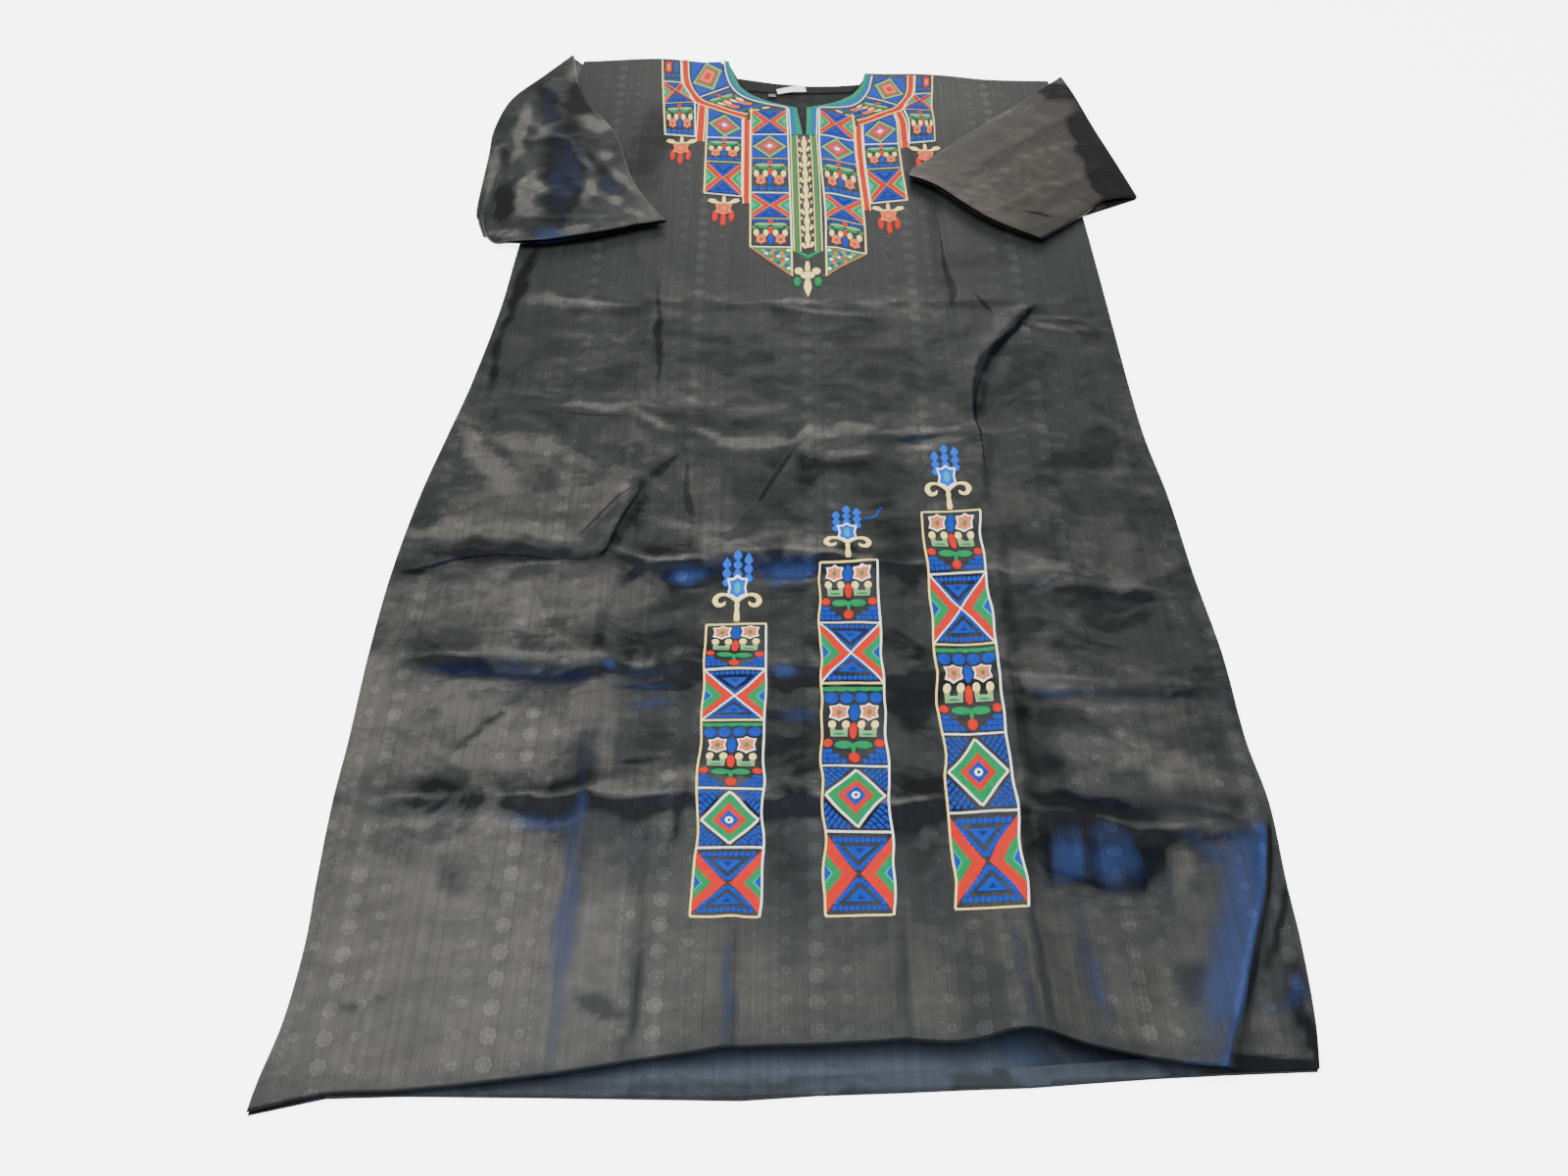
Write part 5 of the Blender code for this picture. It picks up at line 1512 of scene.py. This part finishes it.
CHEST_COLUMNS = {
    "outer": {
        "sides": (metres((-187, 700), (-182.5, 632), (-177.5, 570), (-172, 500)),
                  metres((-162.5, 700), (-158.5, 637), (-151, 602), (-138.5, 580), (-134.5, 500))),
        "levels": metres((688, 688), (632, 630), (575, 579), (504, 499.5)),
        "motifs": (top_blossom, chest_cross, hanging_flower),
    },
    "middle": {
        "sides": (metres((-121.5, 566), (-119, 380)), metres((-76.5, 540), (-74, 372.5))),
        "levels": metres((564, 538.5), (498, 496), (446, 442), (380, 373)),
        "motifs": (chest_diamond, hanging_flower, chest_cross),
    },
    "inner": {
        "sides": (metres((-65.8, 566.5), (-62.7, 275)),
                  metres((-20.5, 560), (-19, 503), (-17.3, 400), (-15.3, 282), (-14.5, 220))),
        "levels": metres((564, 561), (504, 504), (452, 451), (381, 380), (330, 329), (276, 275)),
        "motifs": (chest_cross, chest_diamond, hanging_flower, chest_cross, last_flower),
    },
}
INNER_POINT = metres((-62.5, 275), (-15.2, 275), (-15, 222.5))
for hand in ("left", "right"):
    moved = answer if hand == "right" else None
    for name, column in CHEST_COLUMNS.items():
        sew = Stitches()
        chest_column(sew, **column)
        if name == "inner":
            dotted_point(sew, *INNER_POINT)
        sew.sewn("chest_" + name + "_" + hand, "blue_embroidery", moved)

    for name, (one, other, count) in RIBBONS.items():
        sew = Stitches()
        one, other = along_curve(one, count), along_curve(other, count)
        sew.strip(between(one, other, 0.16), between(one, other, 0.84), "red")
        for share in (0.04, 0.96):
            sew.cord(between(one, other, share), "cream", 0.0017)
        sew.sewn("ribbon_" + name + "_" + hand, "red_embroidery", moved)

    sew = Stitches()
    outer, inner = along_curve(YOKE_OUTER, YOKE_STEPS + 1), along_curve(YOKE_INNER, YOKE_STEPS + 1)

    def yoke_place(across, down):
        at = min(max(down, 0.0), 1.0) * YOKE_STEPS
        k = min(int(at), YOKE_STEPS - 1)
        low, high = [mix(np.array(outer[i]), np.array(inner[i]), (across + 1) / 2)
                     for i in (k, k + 1)]
        return tuple(mix(low, high, at - k))

    shoulder = part_of(yoke_place, 0.01, 0.43)
    chest_diamond(sew, shoulder)
    sew.shapes(shoulder, 1, (DIAMOND, 0, 0.5, 0.5, 0.25, "salmon", 0, 4),
               (DIAMOND, 0, 0.5, 0.26, 0.13, "red", 0, 5))
    sew.line(yoke_place, ((-0.95, 0.44), (0.95, 0.44)), "white", 0.0016)
    hanging_flower(sew, part_of(yoke_place, 0.46, 0.89))
    sew.shapes(yoke_place, 1, (OVAL, -0.35, 0.945, 0.3, 0.035, "cream", 30),
               (OVAL, 0.4, 0.945, 0.22, 0.028, "cream", 30))
    sew.sewn("yoke_" + hand, "blue_embroidery", moved)


# The placket and its drop.
# Two muted green strips between cream cords run down both sides of a chain of small cream
# flowers, and meet in a green point over a cream lily with two green drops.
PLACKET_LEFT = metres((-16.3, 502), (-15, 400), (-13, 268))
PLACKET_RIGHT = metres((17.3, 502), (19.7, 400), (20.3, 268))
PLACKET_TIP = 0.2535
CHAIN_LINKS = 7
sew = Stitches()
left, right = along_curve(PLACKET_LEFT, 40), along_curve(PLACKET_RIGHT, 40)
for one, side in ((0.0, 1), (1.0, -1)):
    sew.strip(between(left, right, one + side * 0.055), between(left, right, one + side * 0.205),
              "moss")
    for share, width in ((0.02, 0.0014), (0.245, 0.0013)):
        sew.cord(between(left, right, one + side * share), "cream", width)
place = panel(left[0], right[0], right[-1], left[-1])
for k in range(CHAIN_LINKS):
    top = 0.02 + k * 0.137
    sew.shapes(place, 1, (OVAL, 0, top + 0.056, 0.205, 0.04, "cream", 0, 1),
               (OVAL, 0, top + 0.012, 0.12, 0.026, "cream"),
               (OVAL, 0, top + 0.106, 0.14, 0.026, "cream"))
    for side, down in ((-1, top + 0.108), (1, top + 0.1)):
        sew.shapes(place, side, (OVAL, 0.32, down, 0.115, 0.016, "cream", 0, 1),
                   (OVAL, 0.22, down + 0.018, 0.11, 0.01, "cream"),
                   (OVAL, 0.36, top + 0.03, 0.06, 0.012, "cream"))
middle = mix(left[-1][0], right[-1][0], 0.5)
for side, (x, y) in ((-1, left[-1]), (1, right[-1])):
    sew.fill([(x - side * 0.0008, y), (middle, PLACKET_TIP), (middle, PLACKET_TIP + 0.0065),
              (x - side * 0.0065, y + 0.0005)], "green", side * 40)
sew.sewn("placket", "green_embroidery")

DROP = {"x": 0.0025, "half": 0.0165, "top": 0.249, "foot": 0.1835}
DROP_BUD = mirrored([(0, -1), (0.75, -0.55), (1, 0), (0.55, 0.5), (0, 1)])
sew = Stitches()
place = upright(*DROP.values())
sew.taper([place(0, down) for down in (0.0, 0.12, 0.26)], (0.003, 0.0052, 0.006), "cream")
sew.shapes(place, 1, (OVAL, 0, 0.385, 0.5, 0.1, "cream", 0, 1),
           (DROP_BUD, 0, 0.71, 0.27, 0.27, "cream", 90, 2))
for side in (-1, 1):
    sew.shapes(place, side, (OVAL, 0.6, 0.27, 0.29, 0.095, "cream", side * 30, 2),
               (OVAL, 0.7, 0.56, 0.25, 0.125, "green", 0, 1))
sew.sewn("placket_drop", "cream_embroidery")


# The four tassels worked under the outer and middle columns.
# A cream stem and two scrolls hold a salmon star with three red drops.
TASSELS = {"outer_left": (-0.151, 0.499), "middle_left": (-0.095, 0.374),
           "middle_right": (0.0985, 0.359), "outer_right": (0.15, 0.483)}
TASSEL_HALF = 0.0185
TASSEL_HEIGHT = 0.0595
TASSEL_SCROLL = ((0.1, 0.23), (0.4, 0.225), (0.7, 0.17), (0.97, 0.13))
for name, (x, top) in TASSELS.items():
    sew = Stitches()
    place = upright(x, TASSEL_HALF, top, top - TASSEL_HEIGHT)
    sew.taper([place(0, down) for down in (0.0, 0.12, 0.3)], (0.0028, 0.0044, 0.0036), "cream")
    for side in (-1, 1):
        sew.taper([place(side * a, b) for a, b in TASSEL_SCROLL], (0.0014, 0.0034, 0.008, 0.0046),
                  "cream", 1)
        sew.shapes(place, side, (OVAL, 0.52, 0.66, 0.175, 0.19, "red"))
    sew.shapes(place, 1, (OVAL, 0, 0.79, 0.175, 0.205, "red"))
    for i, (scale, tone) in enumerate(((1.0, "salmon"), (0.62, "red"), (0.48, "salmon"))):
        sew.shapes(place, 1, (BLOSSOM, 0, 0.43, 0.56 * scale, 0.205 * scale, tone, 0, 2 + i))
    sew.sewn("tassel_" + name, "red_embroidery")


# The sleeves.
# Wide straight tubes sewn into the armholes, each folded over the front on a slanting fold, with
# its cuff a turned and sewn edge. The upper layer of the tube is full of soft wrinkles.
SLEEVES = {
    "left": {
        "armhole": (0.3, 0.68),
        "fold": metres((-373, 302.5), (-382, 329.5), (-387, 355.5), (-388, 461.5), (-389, 519.5),
                       (-376, 587.5), (-340, 646), (-307, 698.5)),
        "cuff": metres((-343, 280.5), (-309, 277.5), (-266, 282.5), (-224, 291.5), (-160, 312.5)),
        "underarm": metres((-373, 302.5), (-359, 285.5), (-343, 280.5)),
        "top": metres((-307, 698.5), (-283, 594), (-232, 499.7), (-203, 395.5), (-160, 312.5)),
    },
    "right": {
        "armhole": (0.342, 0.632),
        "fold": metres((397, 376.5), (383, 444.5), (366, 523.5), (352, 597.5), (341, 642.5)),
        "cuff": metres((269, 281.5), (219, 309.5), (190, 337.5), (156, 378.5), (125, 402.5)),
        "underarm": metres((397, 376.5), (355, 365.5), (328, 337.5), (269, 281.5)),
        "top": metres((341, 642.5), (250, 545), (158, 449.5), (131, 421.5), (125, 402.5)),
    },
}
SLEEVE_CREASES = {
    "left": crease_table(
        (-340, 640, -300, 560, 6, 1.4, 18, 14), (-370, 560, -290, 480, 10, 1.6, 18, 16),
        (-380, 480, -330, 400, -8, 1.3, 16, 18), (-320, 500, -250, 440, -6, 1.4, 14, 14),
        (-350, 400, -270, 360, 8, 1.2, 16, 14), (-290, 420, -230, 350, 6, 1.3, 16, 14),
        (-340, 330, -200, 320, 6, 1, 12, 12)),
    "right": crease_table(
        (360, 560, 250, 460, 6, 0.8, 22, 20), (370, 450, 290, 380, -8, 0.8, 20, 18),
        (260, 470, 190, 400, 4, 0.6, 20, 18), (310, 400, 230, 330, 6, 0.6, 18, 16)),
}
# Painted light on each sleeve: patches of painted highlight, painted shade and painted blue
# reflection.
SLEEVE_PATCHES = {
    "left": patch_table(
        (-310, 470, 190, 110, 90, -0.28), (-352, 507, 70, 9, 90, 1.5), (-327, 372, 45, 18, 90, 1.6),
        (-378, 420, 55, 8, 90, 1.1, 0.2), (-298, 648, 30, 12, 90, 1), (-322, 508, 22, 10, 60, 1.4),
        (-262, 525, 26, 14, -50, 1.5), (-271, 450, 36, 6, -64, 1.3), (-243, 453, 12, 14, 0, 1.5),
        (-217, 398, 30, 7, -66, 1.4), (-256, 375, 26, 8, 85, 1.4), (-223, 352, 10, 8, 0, 1.3),
        (-264, 295, 20, 12, 0, 1.3), (-345, 296, 22, 10, 0, 1), (-200, 330, 16, 8, -40, 1),
        (-288, 415, 110, 26, 94, -0.6, 0.4), (-326, 566, 60, 16, 98, -0.7, 0.34),
        (-230, 387, 40, 13, -66, -0.6, 0.38), (-293, 291, 26, 18, 0, -0.2, 0.48),
        (-352, 360, 40, 12, 90, -1), (-285, 600, 50, 18, 94, -0.8)),
    "right": patch_table(
        (285, 490, 100, 75, 60, 0.06), (255, 355, 100, 50, 20, 0.26), (373, 430, 130, 28, -80, -2.4),
        (334, 605, 30, 18, 0, -1.8), (272, 330, 18, 2, -8, -1.6)),
}
SLEEVE_CRUMPLE = {"left": 0.35, "right": 0.22}
FOLD_RADIUS = 0.002
SLEEVE_LIFT = 0.0022
SLEEVE_HOLLOW = 0.0032
CUFF_LIFT = 0.0045
FOLD_FADE = 6
CUFF_FADE = 6
HOLLOW_FULLNESS = 0.6
HOLLOW_REACH = 0.5
LIFT_SHARE = 0.2
UNDER_SHARES = (0.0, 0.3, 0.6, 0.8)
FOLD_ANGLES = (-90.0, -67.5, -45.0, -22.5, 0.0, 22.5, 45.0, 67.5)
OVER_COUNT = 70
AROUND_COUNT = 74
EDGE_SHARES = (0.0, 0.004, 0.012)
INSIDE_SHRINK = 0.008
ARMHOLE_FADE = 0.12
EDGE_FADE = 0.1


def curve_point(places, share):
    """Places at shares of the way along a row of places, on a smooth curve."""
    return np.stack(on_curve(places, share), axis=-1)


def over_point(sleeve, along, across):
    """Places of a folded sleeve's upper part, between its fold, its cuff and its two edges."""
    fold, cuff = np.array(sleeve["fold"]), np.array(sleeve["cuff"])
    share = across[:, None]
    ends = mix(mix(fold[0], fold[-1], share), mix(cuff[0], cuff[-1], share), along)
    edges = mix(curve_point(sleeve["underarm"], along), curve_point(sleeve["top"], along), share)
    return mix(curve_point(fold, across), curve_point(cuff, across), along) + edges - ends


def raised(flat, height):
    """Places on the table at a height, as places in space."""
    return np.column_stack([flat, np.broadcast_to(height, len(flat))])


def sleeve_rings(hand, shares, inset):
    """Rings round the flattened tube, from the armhole round the fold to the cuff."""
    sleeve = SLEEVES[hand]
    half = WALL + GAP / 2
    sign = -1 if hand == "left" else 1
    low_y, high_y = sleeve["armhole"]
    heights = mix(low_y, high_y, shares)
    armhole = np.column_stack([down_line(hand, heights) + sign * SEAM_CLEARANCE, heights])
    fold = curve_point(sleeve["fold"], shares)
    outward = fold - armhole
    outward /= np.linalg.norm(outward, axis=1)[:, None]
    axis = fold - outward * (FOLD_RADIUS + half)
    rings = []

    def ring(middle, normal, low, high):
        """A ring from where the tube's middle runs and where its two outer faces lie."""
        upper = middle + normal * (high - inset)[:, None]
        lower = middle + normal * (low + inset)[:, None]
        ends = middle + normal * ((low + high) / 2)[:, None]
        rings.append(np.concatenate([ends[:1], upper[1:-1], ends[-1:], lower[-2:0:-1]]))

    span = np.full(len(shares), half)
    for under in UNDER_SHARES:
        ring(raised(mix(armhole, axis, under), half), np.array([0, 0, -1.0]), -span, span)
    for angle in FOLD_ANGLES:
        turn = radians(angle)
        normal = raised(outward * cos(turn), sin(turn))
        ring(raised(axis, half + FOLD_RADIUS) + normal * FOLD_RADIUS, normal, -span, span)
    for over in np.linspace(0, 1, OVER_COUNT):
        inward = (FOLD_RADIUS + half) * (1 - over) ** FOLD_FADE
        flat = over_point(sleeve, over, shares) - outward * inward
        front_top = BACK_TOP + GAP + front_rise(flat[:, 0], flat[:, 1]) + WALL
        lift = GAP + SLEEVE_LIFT * ramp(over / LIFT_SHARE)
        below = np.maximum(2 * FOLD_RADIUS, front_top + lift) + CUFF_LIFT * over ** CUFF_FADE
        fullness = ramp(over / HOLLOW_REACH) * np.sin(pi * shares) ** HOLLOW_FULLNESS
        edge_fade = ramp(over / ARMHOLE_FADE) * ramp(np.minimum(shares, 1 - shares) / EDGE_FADE)
        wrinkles = crease_rise(SLEEVE_CREASES[hand], flat[:, 0], flat[:, 1])
        wrinkles = (wrinkles + SLEEVE_CRUMPLE[hand] * ripples(flat[:, 0], flat[:, 1])) * edge_fade
        hollow = GAP + np.maximum(0.0, SLEEVE_HOLLOW * fullness + wrinkles)
        ring(raised(flat, 0.0), np.array([0, 0, 1.0]), below, below + 2 * WALL + hollow)
    return rings


def sleeve_shares(shrink):
    inner = np.linspace(0.03, 0.97, AROUND_COUNT)
    edges = np.array(EDGE_SHARES)
    return mix(shrink, 1 - shrink, np.concatenate([edges, inner, 1 - edges[::-1]]))


for hand in ("left", "right"):
    rings = sleeve_rings(hand, sleeve_shares(0.0), 0.0)
    rings += sleeve_rings(hand, sleeve_shares(INSIDE_SHRINK), WALL)[::-1]
    count = len(rings[0])
    bm = bmesh.new()
    loops = [[bm.verts.new(place) for place in ring] for ring in rings]
    for i, loop in enumerate(loops):
        after = loops[(i + 1) % len(loops)]
        for k in range(count):
            bm.faces.new((loop[k], loop[(k + 1) % count], after[(k + 1) % count], after[k]))
    bmesh.ops.recalc_face_normals(bm, faces=bm.faces[:])
    # The right sleeve takes the copy of the satin whose painted sheen is warmer.
    finish = {"left": SATIN, "right": WARM_SHEEN_SATIN}[hand]
    sleeve = add_piece("sleeve_" + hand + "_cloth", bm, "black_satin", [finish], "sleeve_" + hand)
    soften(sleeve, 60)
    lengths = np.cumsum([0] + [np.linalg.norm(b - a, axis=1).mean()
                               for a, b in zip(rings, rings[1:])])
    lengths[len(rings) // 2:] = lengths[:len(rings) // 2][::-1]
    widths = [np.cumsum([0, *np.linalg.norm(np.diff(ring, axis=0), axis=1)]) for ring in rings]
    grain = np.array([(width, length) for row, length in zip(widths, lengths) for width in row])
    lay_grain(sleeve.data, grain)
    mark_sheen(sleeve.data, SLEEVE_PATCHES[hand], SLEEVE_CRUMPLE[hand])


# The room.
# A pale floor, a soft key light from the left, a warm high light beyond the neck and a cool one
# over the camera, which the satin mirrors where it slopes towards the hem.
CAMERA_PLACE = (-0.024, -1.0215, 0.97)
CAMERA_TILT = 39.47
CAMERA_LENS = 31.5
LIGHTS = (
    ("key", (-2.4, 0.0, 2.4), 1.4, 72.0, (1.0, 0.99, 0.97)),
    ("beyond", (0.2, 3.4, 1.7), 1.6, 28.0, (1.0, 0.97, 0.92)),
    ("overhead", (0.0, -0.1, 3.2), 3.0, 162.0, (0.95, 0.97, 1.0)),
    ("behind", (0.3, -2.6, 2.6), 1.4, 28.0, (0.55, 0.7, 1.0)),
)
for name, place, size, power, colour in LIGHTS:
    light = bpy.data.lights.new(name, "AREA")
    light.size = size
    light.energy = power
    light.color = colour
    lamp = linked(name, light)
    lamp.location = place
    lamp.rotation_euler = (-Vector(place)).to_track_quat("-Z", "Y").to_euler()

world = bpy.data.worlds.new("room")
world.use_nodes = True
world.node_tree.nodes["Background"].inputs[0].default_value = (1.0, 1.0, 1.0, 1.0)
world.node_tree.nodes["Background"].inputs[1].default_value = 0.58
bpy.context.scene.world = world

bm = bmesh.new()
bmesh.ops.create_grid(bm, x_segments=1, y_segments=1, size=6.0)
floor_finish = painted("pale_floor", 0.8, Base_Color=(0.92, 0.92, 0.92, 1.0),
                       Emission_Color=(1.0, 1.0, 1.0, 1.0), Emission_Strength=4.5)[0]
ground = mesh_object("pale_floor", bm, [floor_finish])

camera_data = bpy.data.cameras.new("camera")
camera_data.lens = CAMERA_LENS
camera_data.sensor_width = 36.0
camera = linked("camera", camera_data)
camera.location = CAMERA_PLACE
camera.rotation_euler = (radians(CAMERA_TILT), 0.0, 0.0)
bpy.context.scene.camera = camera
